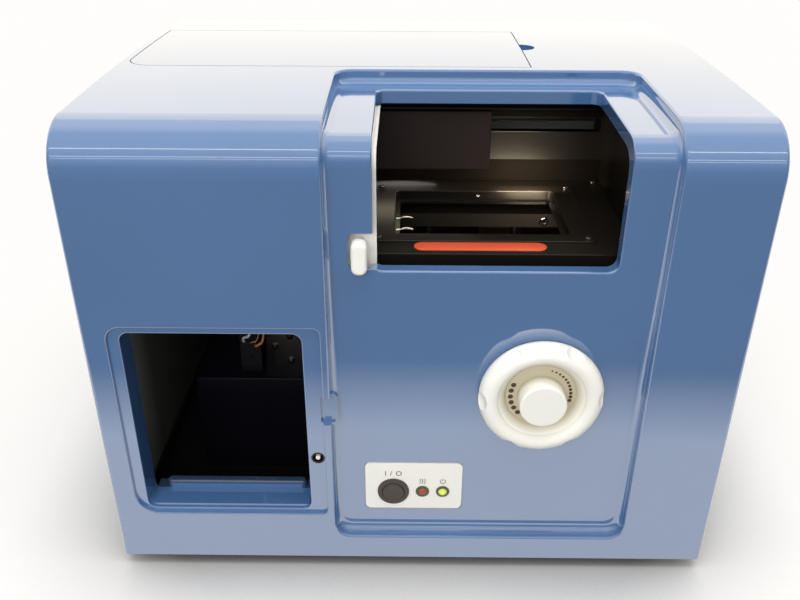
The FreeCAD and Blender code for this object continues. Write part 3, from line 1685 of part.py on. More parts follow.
def data_socket():
    y0 = body_depth - socket_depth
    y1 = body_depth + socket_reach
    body = block(socket_x - socket_width / 2, socket_x + socket_width / 2, y0, y1,
                 socket_z - socket_height / 2, socket_z + socket_height / 2)
    cavity = block(socket_x - socket_width / 2 + socket_wall, socket_x + socket_width / 2 - socket_wall,
                   y0 + socket_floor, y1 + 1, socket_z - socket_height / 2 + socket_wall,
                   socket_z + socket_height / 2 - socket_wall)
    tongue = block(socket_x - 2.5, socket_x + 2.5, y0 + socket_floor - 1, y1 - 2, socket_z - 1.5,
                   socket_z + 1.5)
    return fuse([body.cut(cavity), tongue])


OUTER_SHELL = body_form(0.0, top_edge_radius, foot_height).Shells[0]


def save(name, shape):
    placed = shape.copy()
    placed.translate(Vector(0, front_y, 0))
    placed.exportStep("parts/" + name + ".step")


def nodes():
    pieces = {
        "housing_shell": housing_shell(),
        "base_pan": base_pan(),
        "feet": feet(),
        "foot_screws": foot_screws(),
        "rear_panel": rear_panel(),
        "rear_panel_screws": rear_panel_screws(),
        "top_cover": top_cover(),
        "sliding_door": sliding_door(),
        "door_handle": door_handle(),
        "door_rail_lower": door_rail_lower(),
        "door_rail_upper": door_rail_upper(),
        "knob_dish": knob_dish(),
        "knob_cap": knob_cap(),
        "knob_shaft": knob_shaft(),
        "panel_bush": panel_bush(),
        "retaining_collar": retaining_collar(),
        "drive_pinion": drive_pinion(),
        "focus_rack": focus_rack(),
        "shaft_bracket": shaft_bracket(),
        "guide_rods": guide_rods(),
        "rod_base": rod_base(),
        "rod_bridge": rod_bridge(),
        "focus_carriage": focus_carriage(),
        "camera_body": camera_body(),
        "lens_barrel": lens_barrel(),
        "lens_glass": lens_glass(),
        "control_plate": control_plate(),
        "switch_ring": switch_ring(),
        "power_button": power_button(),
        "lamp_rings": lamp_rings(),
        "heat_lamp_lens": lamp_lens(lamp_heat_x),
        "power_lamp_lens": lamp_lens(lamp_power_x),
        "chamber_liner": chamber_liner(),
        "stage_plate": stage_plate(),
        "plate_frame": plate_frame(),
        "frame_screws": frame_screws(),
        "stage_screws": stage_screws(),
        "heater_film": heater_film(),
        "light_head": light_head(),
        "head_diffuser": head_diffuser(),
        "head_arm": head_arm(),
        "head_runner": head_runner(),
        "head_rail": head_rail(),
        "rail_beam": rail_beam(),
        "chassis_left": chassis_left(),
        "chassis_right": chassis_right(),
        "bay_wall": bay_wall(),
        "scan_motor": scan_motor(),
        "tension_screw": tension_screw(),
        "compartment_sill": compartment_sill(),
        "catch_cup": catch_cup(),
        "catch_pin": catch_pin(),
        "inner_box": inner_box(),
        "terminal_block": terminal_block(),
        "power_supply": power_supply(),
        "controller_board": controller_board(),
        "fan_housing": fan_housing(),
        "fan_impeller": fan_impeller(),
        "mains_inlet": mains_inlet(),
        "data_socket": data_socket(),
    }
    return pieces


os.makedirs("parts", exist_ok=True)
for node_name, node_shape in nodes().items():
    save(node_name, node_shape)
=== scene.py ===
import math

import bmesh
import bpy
from mathutils import Matrix, Vector


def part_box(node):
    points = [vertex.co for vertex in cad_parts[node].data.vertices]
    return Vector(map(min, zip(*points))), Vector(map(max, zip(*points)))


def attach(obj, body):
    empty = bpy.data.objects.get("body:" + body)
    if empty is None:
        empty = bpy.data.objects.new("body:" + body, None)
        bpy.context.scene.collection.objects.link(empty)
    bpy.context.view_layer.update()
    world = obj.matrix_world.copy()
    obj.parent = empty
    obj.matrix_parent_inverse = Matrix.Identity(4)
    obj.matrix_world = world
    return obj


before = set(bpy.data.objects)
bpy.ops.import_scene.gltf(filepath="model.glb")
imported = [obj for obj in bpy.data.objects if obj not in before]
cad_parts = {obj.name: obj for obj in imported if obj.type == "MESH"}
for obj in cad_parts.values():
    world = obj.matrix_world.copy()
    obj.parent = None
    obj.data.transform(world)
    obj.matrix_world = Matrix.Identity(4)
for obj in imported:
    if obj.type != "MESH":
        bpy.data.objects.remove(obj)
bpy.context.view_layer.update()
bpy.ops.object.select_all(action="DESELECT")


# Camera. The view is from the operator's side, a little above the instrument's top, and looks down
# at its front face. The place and tilt follow from the straight edges of the housing in the photo.
scene = bpy.context.scene
housing_low, housing_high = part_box("housing_shell")
front_face_y = housing_low.y
camera_pitch = 0.496088
camera_yaw = -0.00736345
camera_roll = 0.00390962
camera_lens = bpy.data.cameras.new("camera_lens")
camera_lens.sensor_width = 36.0
camera_lens.lens = 37.607
camera_lens.clip_start = 0.01
camera = bpy.data.objects.new("camera", camera_lens)
scene.collection.objects.link(camera)
sight = Vector((math.sin(camera_yaw) * math.cos(camera_pitch),
                math.cos(camera_yaw) * math.cos(camera_pitch), -math.sin(camera_pitch)))
level_right = Vector((math.cos(camera_yaw), -math.sin(camera_yaw), 0.0))
level_up = level_right.cross(sight)
turned_right = math.cos(camera_roll) * level_right + math.sin(camera_roll) * level_up
turned_up = -math.sin(camera_roll) * level_right + math.cos(camera_roll) * level_up
camera.matrix_world = Matrix((turned_right, turned_up, -sight)).transposed().to_4x4()
camera.location = (-0.006578, front_face_y - 0.501311, 0.519908)
scene.camera = camera
scene.view_settings.view_transform = "Standard"


# Bench. A white laminate bench top ends 290 mm in front of the instrument's face. It keeps the
# soft shadow under the housing, deepened near it by painted contact shade, and fades to plain white
# farther off. In gloss it shows white, and dims towards its front edge.
def add_node(tree, kind, **settings):
    node = tree.nodes.new(kind)
    for name, value in settings.items():
        setattr(node, name, value)
    return node


def feed(tree, source, socket):
    if isinstance(source, bpy.types.NodeSocket):
        tree.links.new(source, socket)
    else:
        socket.default_value = source


def add_math(tree, operation, *sources):
    node = add_node(tree, "ShaderNodeMath", operation=operation)
    for source, socket in zip(sources, node.inputs):
        feed(tree, source, socket)
    return node.outputs[0]


def add_range(tree, *values):
    node = add_node(tree, "ShaderNodeMapRange")
    for value, socket in zip(values, node.inputs):
        feed(tree, value, socket)
    return node.outputs["Result"]


def add_mix(tree, share, first, second):
    node = add_node(tree, "ShaderNodeMix", data_type="RGBA")
    for value, socket in ((share, node.inputs["Factor"]), (first, node.inputs[6]),
                          (second, node.inputs[7])):
        feed(tree, value, socket)
    return node.outputs[2]


def add_axes(tree):
    axes = add_node(tree, "ShaderNodeSeparateXYZ")
    tree.links.new(add_node(tree, "ShaderNodeTexCoord").outputs["Object"], axes.inputs[0])
    return axes.outputs


def seen_by_gloss(tree, ray):
    return add_math(tree, "MAXIMUM", ray.outputs["Is Glossy Ray"],
                    ray.outputs["Is Transmission Ray"])


bench_front = front_face_y - 0.290
fade_start = front_face_y - 0.165
bench_back = 6.0
bench_half_width = 5.0
bench_white = (0.93, 0.92, 0.905, 1)
bench_bounce = (0.30, 0.30, 0.30, 1)
bench_sheen = (1.0, 0.985, 0.965, 1)
room_dim = (0.17, 0.18, 0.20, 1)
shadow_reach = (0.27, 0.56)
shadow_share = (0.02, 1.0)
painted_shade_reach = 0.12
painted_shade_depth = 1.1
bpy.ops.mesh.primitive_plane_add(size=1.0, location=(0, (bench_front + bench_back) / 2, 0))
bench = bpy.context.object
bench.name = "bench_top"
bench.scale = (2 * bench_half_width, bench_back - bench_front, 1)
bpy.ops.object.transform_apply(location=True, rotation=True, scale=True)
laminate = bpy.data.materials.new("bench_laminate")
laminate.use_nodes = True
tree = laminate.node_tree
tree.nodes.clear()
ray = add_node(tree, "ShaderNodeLightPath")
place = add_node(tree, "ShaderNodeTexCoord")
distance = add_node(tree, "ShaderNodeVectorMath", operation="LENGTH")
tree.links.new(place.outputs["Object"], distance.inputs[0])
plain_share = add_range(tree, distance.outputs["Value"], *shadow_reach, *shadow_share)
camera_share = add_math(tree, "MULTIPLY", ray.outputs["Is Camera Ray"], plain_share)
matt = add_node(tree, "ShaderNodeBsdfDiffuse")
# Painted contact shade: an occlusion node darkens the bench's white close to the housing and feet
painted_shade_ao = add_node(tree, "ShaderNodeAmbientOcclusion", samples=8)
painted_shade_ao.inputs["Distance"].default_value = painted_shade_reach
painted_contact_shade = add_math(tree, "POWER", painted_shade_ao.outputs["AO"], painted_shade_depth)
painted_shade_white = add_node(tree, "ShaderNodeVectorMath", operation="SCALE")
painted_shade_white.inputs[0].default_value = bench_white[:3]
tree.links.new(painted_contact_shade, painted_shade_white.inputs["Scale"])
tree.links.new(add_mix(tree, ray.outputs["Is Diffuse Ray"], painted_shade_white.outputs["Vector"],
                       bench_bounce), matt.inputs["Color"])
in_front = add_range(tree, add_axes(tree)["Y"], fade_start, bench_front, 0.0, 1.0)
unlit = add_math(tree, "MULTIPLY", in_front, ray.outputs["Is Glossy Ray"])
plain = add_node(tree, "ShaderNodeEmission")
tree.links.new(add_mix(tree, unlit, bench_sheen, room_dim), plain.inputs["Color"])
bench_mix = add_node(tree, "ShaderNodeMixShader")
tree.links.new(add_math(tree, "MAXIMUM", camera_share, seen_by_gloss(tree, ray)),
               bench_mix.inputs["Fac"])
tree.links.new(matt.outputs[0], bench_mix.inputs[1])
tree.links.new(plain.outputs[0], bench_mix.inputs[2])
bench_out = add_node(tree, "ShaderNodeOutputMaterial")
tree.links.new(bench_mix.outputs[0], bench_out.inputs["Surface"])
bench.data.materials.append(laminate)
bpy.ops.object.select_all(action="DESELECT")


# Room. Behind the bench stands a white wall. Gloss on the instrument also shows the operator's
# side of the room, dim at eye level and pale at the ceiling.
room_white = (1.0, 1.0, 0.99, 1)
wall_white = (1.0, 0.985, 0.96, 1)
ceiling_pale = (0.58, 0.60, 0.62, 1)
ceiling_blend = (0.10, 0.72)
wall_blend = (-0.08, 0.22)
fill_tint = (0.96, 0.98, 1.0, 1)
fill_strength = 0.42
room = bpy.data.worlds.new("room")
scene.world = room
room.use_nodes = True
tree = room.node_tree
tree.nodes.clear()
ray = add_node(tree, "ShaderNodeLightPath")
place = add_node(tree, "ShaderNodeTexCoord")
way = add_node(tree, "ShaderNodeSeparateXYZ")
tree.links.new(place.outputs["Generated"], way.inputs[0])
ceiling_share = add_range(tree, way.outputs["Z"], *ceiling_blend, 0.0, 1.0)
wall_share = add_range(tree, way.outputs["Y"], *wall_blend, 0.0, 1.0)
front_room = add_mix(tree, ceiling_share, room_dim, ceiling_pale)
gloss_room = add_mix(tree, wall_share, front_room, wall_white)
gloss_rays = seen_by_gloss(tree, ray)
room_seen = add_node(tree, "ShaderNodeBackground")
tree.links.new(add_mix(tree, gloss_rays, room_white, gloss_room), room_seen.inputs["Color"])
room_fill = add_node(tree, "ShaderNodeBackground")
room_fill.inputs["Color"].default_value = fill_tint
room_fill.inputs["Strength"].default_value = fill_strength
room_mix = add_node(tree, "ShaderNodeMixShader")
tree.links.new(add_math(tree, "MAXIMUM", ray.outputs["Is Camera Ray"], gloss_rays),
               room_mix.inputs["Fac"])
tree.links.new(room_fill.outputs[0], room_mix.inputs[1])
tree.links.new(room_seen.outputs[0], room_mix.inputs[2])
room_out = add_node(tree, "ShaderNodeOutputWorld")
tree.links.new(room_mix.outputs[0], room_out.inputs["Surface"])


# Lamps. Two soft boxes light the object from above and from the operator's side, a pale warm box
# stands behind it, and rows of ceiling tubes draw the thin bright lines on the rounded edges.
def hang_lamp(name, place, target, width, depth, watts, tint, in_gloss):
    lamp = bpy.data.lights.new(name, "AREA")
    lamp.shape = "RECTANGLE"
    lamp.size = width
    lamp.size_y = depth
    lamp.energy = watts
    lamp.color = tint
    holder = bpy.data.objects.new(name, lamp)
    scene.collection.objects.link(holder)
    holder.location = place
    holder.rotation_euler = (Vector(target) - Vector(place)).to_track_quat("-Z", "Y").to_euler()
    holder.visible_camera = False
    holder.visible_glossy = in_gloss
    return holder


hang_lamp("overhead_box", (0.1, -0.25, 1.75), (0.0, 0.0, 0.2), 1.7, 1.1, 20.0,
          (1.0, 0.985, 0.96), False)
hang_lamp("front_box", (-0.5, -2.3, 1.35), (0.0, -0.1, 0.2), 1.6, 1.0, 32.0,
          (1.0, 0.99, 0.975), False)
hang_lamp("back_box", (0.0, 2.1, 1.52), (0.0, 0.0, 0.35), 3.4, 2.5, 12.2,
          (1.0, 0.81, 0.48), True)
ceiling_height = 1.9
tube_length = 3.6
tube_width = 0.045
tube_tint = (1.0, 1.0, 1.0)
for number, (tube_y, tube_watts) in enumerate(((-1.55, 1.3), (-2.75, 1.2), (-3.30, 1.0))):
    hang_lamp("ceiling_tube_%d" % (number + 1), (0.0, tube_y, ceiling_height),
              (0.0, -0.15, 0.35), tube_length, tube_width, tube_watts, tube_tint, True)

# Small warm lamps in the chamber stand for the light that its walls pass on: two strips under its
# ceiling, one each for the rear wall and the ledge beside the head, and one under the stage
chamber_warm = (1.0, 0.82, 0.56)
ledge_tint = (1.0, 0.92, 0.86)
hang_lamp("chamber_strip_rear", (0.105, front_face_y + 0.110, 0.343),
          (0.105, front_face_y + 0.111, 0.26), 0.090, 0.010, 0.009, chamber_warm, True)
hang_lamp("chamber_strip_front", (0.050, front_face_y + 0.029, 0.340),
          (0.050, front_face_y + 0.035, 0.26), 0.200, 0.008, 0.008, chamber_warm, True)
hang_lamp("pocket_glow", (0.090, front_face_y + 0.145, 0.2785),
          (0.090, front_face_y + 0.1935, 0.2860), 0.040, 0.012, 0.110, chamber_warm, True)
ledge_glow = hang_lamp("ledge_glow", (-0.010, front_face_y + 0.1803, 0.2735),
                       (-0.010, front_face_y, 0.262), 0.060, 0.008, 0.0009, ledge_tint, True)
ledge_glow.data.shape = "ELLIPSE"
hang_lamp("shaft_glow", (0.105, front_face_y + 0.100, 0.252),
          (0.105, front_face_y + 0.159, 0.240), 0.040, 0.008, 0.020, chamber_warm, True)


# Moulded housing. One shell of thick ABS, finished with a deep blue gloss lacquer outside and
# left off-white inside. It fits over the base pan and takes the rear panel in a rebate.
def new_finish(name):
    finish = bpy.data.materials.new(name)
    finish.use_nodes = True
    return finish, finish.node_tree, finish.node_tree.nodes["Principled BSDF"]


def dress(finish, *node_names):
    for node_name in node_names:
        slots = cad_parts[node_name].data.materials
        if len(slots):
            slots[0] = finish
        else:
            slots.append(finish)


def group_with(name, numbers):
    group = bpy.data.node_groups.new(name, "ShaderNodeTree")
    group.interface.new_socket("Colour", in_out="INPUT", socket_type="NodeSocketColor")
    for label in numbers:
        group.interface.new_socket(label, in_out="INPUT", socket_type="NodeSocketFloat")
    for label, kind in (("Colour", "Color"), ("Roughness", "Float"), ("Normal", "Vector")):
        group.interface.new_socket(label, in_out="OUTPUT", socket_type="NodeSocket" + kind)
    return group, group.nodes.new("NodeGroupInput"), group.nodes.new("NodeGroupOutput")


def add_noise(tree, vector, scale, detail):
    noise = add_node(tree, "ShaderNodeTexNoise")
    noise.inputs["Detail"].default_value = detail
    feed(tree, vector, noise.inputs["Vector"])
    feed(tree, scale, noise.inputs["Scale"])
    return noise.outputs["Fac"]


def add_bump(tree, height):
    bump = add_node(tree, "ShaderNodeBump")
    bump.inputs["Distance"].default_value = 0.001
    tree.links.new(height, bump.inputs["Height"])
    return bump.outputs["Normal"]


def add_tone(tree, colour, shade):
    tone = add_node(tree, "ShaderNodeVectorMath", operation="SCALE")
    feed(tree, colour, tone.inputs[0])
    feed(tree, shade, tone.inputs["Scale"])
    return tone.outputs["Vector"]


# Lacquer or moulded skin: slow drift of tone, light handling marks in the gloss, and a fine ripple
skin_group, skin_in, skin_out = group_with(
    "moulded_skin", ["Roughness", "Tone Spread", "Rub Spread", "Ripple Scale", "Ripple Height"])
skin_place = add_node(skin_group, "ShaderNodeTexCoord").outputs["Object"]
skin_drift = add_noise(skin_group, skin_place, 9.0, 2.0)
skin_dark = add_math(skin_group, "SUBTRACT", 1.0, skin_in.outputs["Tone Spread"])
skin_light = add_math(skin_group, "ADD", 1.0, skin_in.outputs["Tone Spread"])
skin_shade = add_range(skin_group, skin_drift, 0.3, 0.7, skin_dark, skin_light)
skin_group.links.new(add_tone(skin_group, skin_in.outputs["Colour"], skin_shade),
                     skin_out.inputs["Colour"])
skin_rub = add_noise(skin_group, skin_place, 46.0, 4.0)
skin_group.links.new(add_math(skin_group, "MULTIPLY_ADD", skin_rub, skin_in.outputs["Rub Spread"],
                              skin_in.outputs["Roughness"]), skin_out.inputs["Roughness"])
skin_ripple = add_noise(skin_group, skin_place, skin_in.outputs["Ripple Scale"], 1.5)
skin_group.links.new(add_bump(skin_group, add_math(skin_group, "MULTIPLY", skin_ripple,
                                                   skin_in.outputs["Ripple Height"])),
                     skin_out.inputs["Normal"])


def lay_skin(finish_tree, shader, colour, roughness, tone, rub, scale, height):
    skin = add_node(finish_tree, "ShaderNodeGroup", node_tree=skin_group)
    for value, socket in zip(((*colour, 1), roughness, tone, rub, scale, height), skin.inputs):
        socket.default_value = value
    finish_tree.links.new(skin.outputs["Colour"], shader.inputs["Base Color"])
    finish_tree.links.new(skin.outputs["Roughness"], shader.inputs["Roughness"])
    finish_tree.links.new(skin.outputs["Normal"], shader.inputs["Normal"])
    return skin


def new_skin(name, colour, roughness, tone, rub, scale, height, **sockets):
    finish, finish_tree, shader = new_finish(name)
    lay_skin(finish_tree, shader, colour, roughness, tone, rub, scale, height)
    for label, value in sockets.items():
        shader.inputs[label.replace("_", " ")].default_value = value
    return finish


def new_lacquer(name, colour):
    finish, finish_tree, shader = new_finish(name)
    skin = lay_skin(finish_tree, shader, colour, 0.10, 0.03, 0.05, 170.0, 0.010)
    shader.inputs["IOR"].default_value = 1.6
    shader.inputs["Coat Weight"].default_value = 1.0
    shader.inputs["Coat Roughness"].default_value = 0.03
    shader.inputs["Coat IOR"].default_value = 2.6
    finish_tree.links.new(skin.outputs["Normal"], shader.inputs["Coat Normal"])
    return finish, finish_tree, shader, skin


lacquer_blue = (0.073, 0.170, 0.370)
dress(new_lacquer("blue_lacquer", lacquer_blue)[0], "top_cover")

# Behind the sill's lip the lacquer is painted darker, as painted shade of the compartment, and the
# whole sill's coat is duller than the housing's
sill_painted_shade_blue = (0.030, 0.062, 0.125)
sill_lip_y = front_face_y + 0.0240
sill_lacquer, tree, shader, sill_skin = new_lacquer("sill_lacquer", sill_painted_shade_blue)
shader.inputs["Coat IOR"].default_value = 1.9
sill_front = add_math(tree, "LESS_THAN", add_axes(tree)["Y"], sill_lip_y)
tree.links.new(add_mix(tree, sill_front, sill_skin.outputs["Colour"], (*lacquer_blue, 1)),
               shader.inputs["Base Color"])
dress(sill_lacquer, "compartment_sill")

# The shell's own finish turns off-white on the inner walls of the compartment, where no lacquer is,
# and is darkened there towards the back as painted shade
inner_white = (0.62, 0.60, 0.52)
bare_half_width = housing_high.x - 0.0038
bare_start = front_face_y + 0.0265
bare_end = front_face_y + 0.340
bare_height = 0.240
painted_shade_start = front_face_y + 0.055
painted_shade_end = front_face_y + 0.120
painted_shade_level = 0.30
shell_lacquer, tree, shader, shell_skin = new_lacquer("shell_lacquer", lacquer_blue)
inner_axes = add_axes(tree)
inside = add_math(tree, "LESS_THAN", add_math(tree, "ABSOLUTE", inner_axes["X"]), bare_half_width)
behind = add_math(tree, "GREATER_THAN", inner_axes["Y"], bare_start)
before = add_math(tree, "LESS_THAN", inner_axes["Y"], bare_end)
below = add_math(tree, "LESS_THAN", inner_axes["Z"], bare_height)
bare = add_math(tree, "MULTIPLY", add_math(tree, "MULTIPLY", inside, behind),
                add_math(tree, "MULTIPLY", before, below))
# Painted shade: the inner walls grow darker from the front of the compartment to its back
painted_inner_shade = add_range(tree, inner_axes["Y"], painted_shade_start, painted_shade_end, 1.0, painted_shade_level)
tree.links.new(add_mix(tree, bare, shell_skin.outputs["Colour"], add_tone(tree, inner_white, painted_inner_shade)),
               shader.inputs["Base Color"])
tree.links.new(add_math(tree, "SUBTRACT", 1.0, bare), shader.inputs["Coat Weight"])
dress(shell_lacquer, "housing_shell")


# Feet. Four round feet of milky off-white rubber are screwed to the pan through their middle.
foot_rubber = new_skin("foot_rubber", (0.70, 0.67, 0.58), 0.55, 0.06, 0.12, 500.0, 0.02,
                       Subsurface_Weight=0.10, Subsurface_Radius=(0.003, 0.0025, 0.002))
dress(foot_rubber, "feet")


# Folded black sheet. The pan, the side plates, the bay's rear wall and the rear panel are steel
# sheet with a fine-grained black powder coat. The box behind the compartment has a glossier one.
black_sheet = new_skin("black_sheet", (0.0085, 0.0080, 0.0095), 0.40, 0.12, 0.14, 900.0, 0.020)
dress(black_sheet, "base_pan", "rear_panel", "chassis_left", "chassis_right", "bay_wall")
box_coat = new_skin("box_gloss_black", (0.0040, 0.0038, 0.0068), 0.22, 0.10, 0.08, 700.0, 0.010,
                    IOR=1.36)
dress(box_coat, "inner_box")


# Cream plastic: the knob's cap, the door with its handle, the control plate and the catch pin.
# They are solid-coloured ABS with a fine spark-eroded grain, so their sheen is soft.
cream = (0.98, 0.96, 0.88)
cream_grain = (0.34, 0.015, 0.10, 900.0, 0.008)
dress(new_skin("cream_plastic", cream, *cream_grain), "knob_cap", "sliding_door", "door_handle",
      "control_plate", "catch_pin")

# The knob's groove is browner than its rim and hub, partly from finger dirt and partly as painted
# shade in the hollow
knob_low, knob_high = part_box("knob_cap")
knob_centre_x = (knob_low.x + knob_high.x) / 2
knob_centre_z = (knob_low.z + knob_high.z) / 2
groove_floor_y = front_face_y + 0.0035
groove_slope = (groove_floor_y - 0.0060, groove_floor_y - 0.0008)
groove_edge = (0.030, 0.034)
groove_dirt_and_shade = (0.60, 0.54, 0.39, 1)
knob_cream, tree, shader = new_finish("knob_cream")
knob_skin = lay_skin(tree, shader, cream, *cream_grain)
knob_axes = add_axes(tree)
in_groove = add_range(tree, knob_axes["Y"], *groove_slope, 0.0, 1.0)
from_axis = add_node(tree, "ShaderNodeVectorMath", operation="DISTANCE")
flat_place = add_node(tree, "ShaderNodeCombineXYZ")
tree.links.new(knob_axes["X"], flat_place.inputs["X"])
tree.links.new(knob_axes["Z"], flat_place.inputs["Z"])
tree.links.new(flat_place.outputs[0], from_axis.inputs[0])
from_axis.inputs[1].default_value = (knob_centre_x, 0, knob_centre_z)
inside_rim = add_range(tree, from_axis.outputs["Value"], *groove_edge, 1.0, 0.0)
tree.links.new(add_mix(tree, add_math(tree, "MULTIPLY", in_groove, inside_rim),
                       knob_skin.outputs["Colour"], groove_dirt_and_shade), shader.inputs["Base Color"])
dress(knob_cream, "knob_dish")


# Knob marks. Round blind holes in the groove of the knob are filled with dark olive paint, six
# large ones at the left and a row at the right that grows downwards.
mark_ring = 0.022
mark_face_y = groove_floor_y
mark_back_y = front_face_y + 0.0049
mark_olive = new_skin("mark_olive", (0.075, 0.048, 0.022), 0.45, 0.05, 0.1, 600.0, 0.02)
mark_chamfer = 0.12
left_marks, left_first, left_step, left_radius = 6, 157, 13.5, 0.00195
right_marks, right_first, right_step = 11, 72, 8.4
right_radius = 0.00075
right_growth = 0.000075
marks = [(math.radians(left_first + left_step * step), left_radius) for step in range(left_marks)]
marks += [(math.radians(right_first - right_step * step), right_radius + right_growth * step)
          for step in range(right_marks)]
bpy.ops.object.select_all(action="DESELECT")
mark_pieces = []
for turn, radius in marks:
    bpy.ops.mesh.primitive_cylinder_add(
        vertices=20, radius=radius, depth=mark_back_y - mark_face_y,
        location=(knob_centre_x + mark_ring * math.cos(turn), (mark_face_y + mark_back_y) / 2,
                  knob_centre_z + mark_ring * math.sin(turn)),
        rotation=(math.radians(90), 0, 0))
    bpy.ops.object.mode_set(mode="EDIT")
    bpy.ops.mesh.select_all(action="SELECT")
    bpy.ops.mesh.bevel(offset=radius * mark_chamfer, segments=1)
    bpy.ops.object.mode_set(mode="OBJECT")
    mark_pieces.append(bpy.context.object)
bpy.ops.object.select_all(action="DESELECT")
for mark in mark_pieces:
    mark.select_set(True)
bpy.context.view_layer.objects.active = mark_pieces[0]
bpy.ops.object.join()
knob_marks = bpy.context.object
knob_marks.name = "knob_marks"
bpy.ops.object.transform_apply(location=True, rotation=True, scale=True)
knob_marks.data.materials.append(mark_olive)
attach(knob_marks, "knob")
bpy.ops.object.select_all(action="DESELECT")


# Control plate print. Thin screen-printed marks in brown stand above the switch and lamps: on and
# off for the switch, three rising waves for the heater, and the usual power sign.
print_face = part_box("control_plate")[0].y
print_thickness = 0.00006
print_line = 0.00026
lamp_sign_rise = 0.0076
switch_sign_rise = 0.0030
switch_sign_height = 0.0062
switch_sign_spread = 0.00006
switch_sign_spacing = 1.15
print_brown = new_skin("print_brown", (0.165, 0.125, 0.085), 0.45, 0.08, 0.1, 800.0, 0.01)


def print_on_plate(sign, x, z):
    bpy.ops.object.select_all(action="DESELECT")
    sign.select_set(True)
    bpy.context.view_layer.objects.active = sign
    bpy.ops.object.convert(target="MESH")
    sign = bpy.context.object
    sign.rotation_euler = (math.radians(90), 0, 0)
    sign.location = (x, print_face, z)
    bpy.ops.object.transform_apply(location=True, rotation=True, scale=True)
    sign.data.materials.append(print_brown)
    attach(sign, "case")
    sign.select_set(False)
    return sign


def centre_of(node_name):
    low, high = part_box(node_name)
    return (low + high) / 2


switch_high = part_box("switch_ring")[1]
heat_centre = centre_of("heat_lamp_lens")
power_centre = centre_of("power_lamp_lens")
bpy.ops.object.text_add()
switch_sign = bpy.context.object
switch_sign.name = "switch_sign"
switch_sign.data.body = "I / O"
switch_sign.data.size = switch_sign_height
switch_sign.data.align_x = "CENTER"
switch_sign.data.extrude = print_thickness
switch_sign.data.offset = switch_sign_spread
switch_sign.data.space_character = switch_sign_spacing
switch_sign = print_on_plate(switch_sign, centre_of("switch_ring").x,
                             switch_high.z + switch_sign_rise)

heat_curve = bpy.data.curves.new("heat_sign", "CURVE")
heat_curve.dimensions = "3D"
heat_curve.bevel_depth = print_line
wave_gap = 0.0019
wave_sway = 0.0006
wave_rise = 0.0012
for wave in (-1, 0, 1):
    line = heat_curve.splines.new("NURBS")
    line.points.add(4)
    for step in range(5):
        sway = wave_sway * (1 if step % 2 else -1)
        line.points[step].co = (wave * wave_gap + sway, step * wave_rise, 0, 1)
    line.order_u = 3
    line.use_endpoint_u = True
heat_sign = bpy.data.objects.new("heat_sign", heat_curve)
scene.collection.objects.link(heat_sign)
heat_sign = print_on_plate(heat_sign, heat_centre.x, heat_centre.z + lamp_sign_rise)

power_curve = bpy.data.curves.new("power_sign", "CURVE")
power_curve.dimensions = "3D"
power_curve.bevel_depth = print_line
arc = power_curve.splines.new("POLY")
arc_steps = 20
arc_radius = 0.0021
arc_start = 125
arc_sweep = 290
arc_middle = 1.15
bar_foot = 1.25
bar_tip = 2.5
arc.points.add(arc_steps)
for step in range(arc_steps + 1):
    turn = math.radians(arc_start + arc_sweep * step / arc_steps)
    arc.points[step].co = (arc_radius * math.cos(turn),
                           arc_radius * (arc_middle + math.sin(turn)), 0, 1)
bar = power_curve.splines.new("POLY")
bar.points.add(1)
bar.points[0].co = (0, arc_radius * bar_foot, 0, 1)
bar.points[1].co = (0, arc_radius * bar_tip, 0, 1)
power_sign = bpy.data.objects.new("power_sign", power_curve)
scene.collection.objects.link(power_sign)
power_sign = print_on_plate(power_sign, power_centre.x, power_centre.z + lamp_sign_rise)
bpy.ops.object.select_all(action="DESELECT")


# Switch. A round push switch in dark brown-black plastic: a wide ring pressed into the plate and a
# shallow dished button that slides in it against a spring.
dress(new_skin("switch_plastic", (0.060, 0.045, 0.038), 0.32, 0.04, 0.12, 700.0, 0.012),
      "switch_ring", "power_button")


# Lamps. Two small indicators: a ring of dark plastic screwed into the plate round a domed lens.
# The red one tells that the heater is on and the green one that the instrument is on.
dress(new_skin("lamp_ring_plastic", (0.075, 0.085, 0.035), 0.30, 0.05, 0.1, 700.0, 0.01),
      "lamp_rings")
dress(new_skin("heat_lens_red", (0.36, 0.085, 0.065), 0.22, 0.04, 0.05, 600.0, 0.01,
               Subsurface_Weight=0.2, Subsurface_Radius=(0.002, 0.0006, 0.0004)),
      "heat_lamp_lens")
glow_reach = (0.0008, 0.0036)
glow_edge = (0.10, 0.14, 0.01, 1)
glow_core = (0.74, 0.86, 0.16, 1)
power_lens, tree, shader = new_finish("power_lens_green")
lay_skin(tree, shader, (0.56, 0.62, 0.10), 0.22, 0.04, 0.05, 600.0, 0.01)
from_lamp = add_node(tree, "ShaderNodeVectorMath", operation="DISTANCE")
from_lamp.inputs[1].default_value = (power_centre.x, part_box("power_lamp_lens")[0].y,
                                     power_centre.z)
tree.links.new(add_node(tree, "ShaderNodeTexCoord").outputs["Object"], from_lamp.inputs[0])
lamp_core = add_range(tree, from_lamp.outputs["Value"], *glow_reach, 1.0, 0.0)
tree.links.new(add_mix(tree, lamp_core, glow_edge, glow_core), shader.inputs["Emission Color"])
shader.inputs["Emission Strength"].default_value = 0.55
dress(power_lens, "power_lamp_lens")


# Chamber. Folded steel sheet in black satin powder coat, so that no stray light reaches the
# camera: the liner with its stepped rear wall and the arm of the light head. The door's plastic
# rails are as black.
chamber_black = (0.0042, 0.0034, 0.0028)
chamber_grain = (0.30, 0.10, 0.08, 1100.0, 0.012)
dress(new_skin("chamber_powder_coat", chamber_black, *chamber_grain), "head_arm",
      "door_rail_lower", "door_rail_upper")

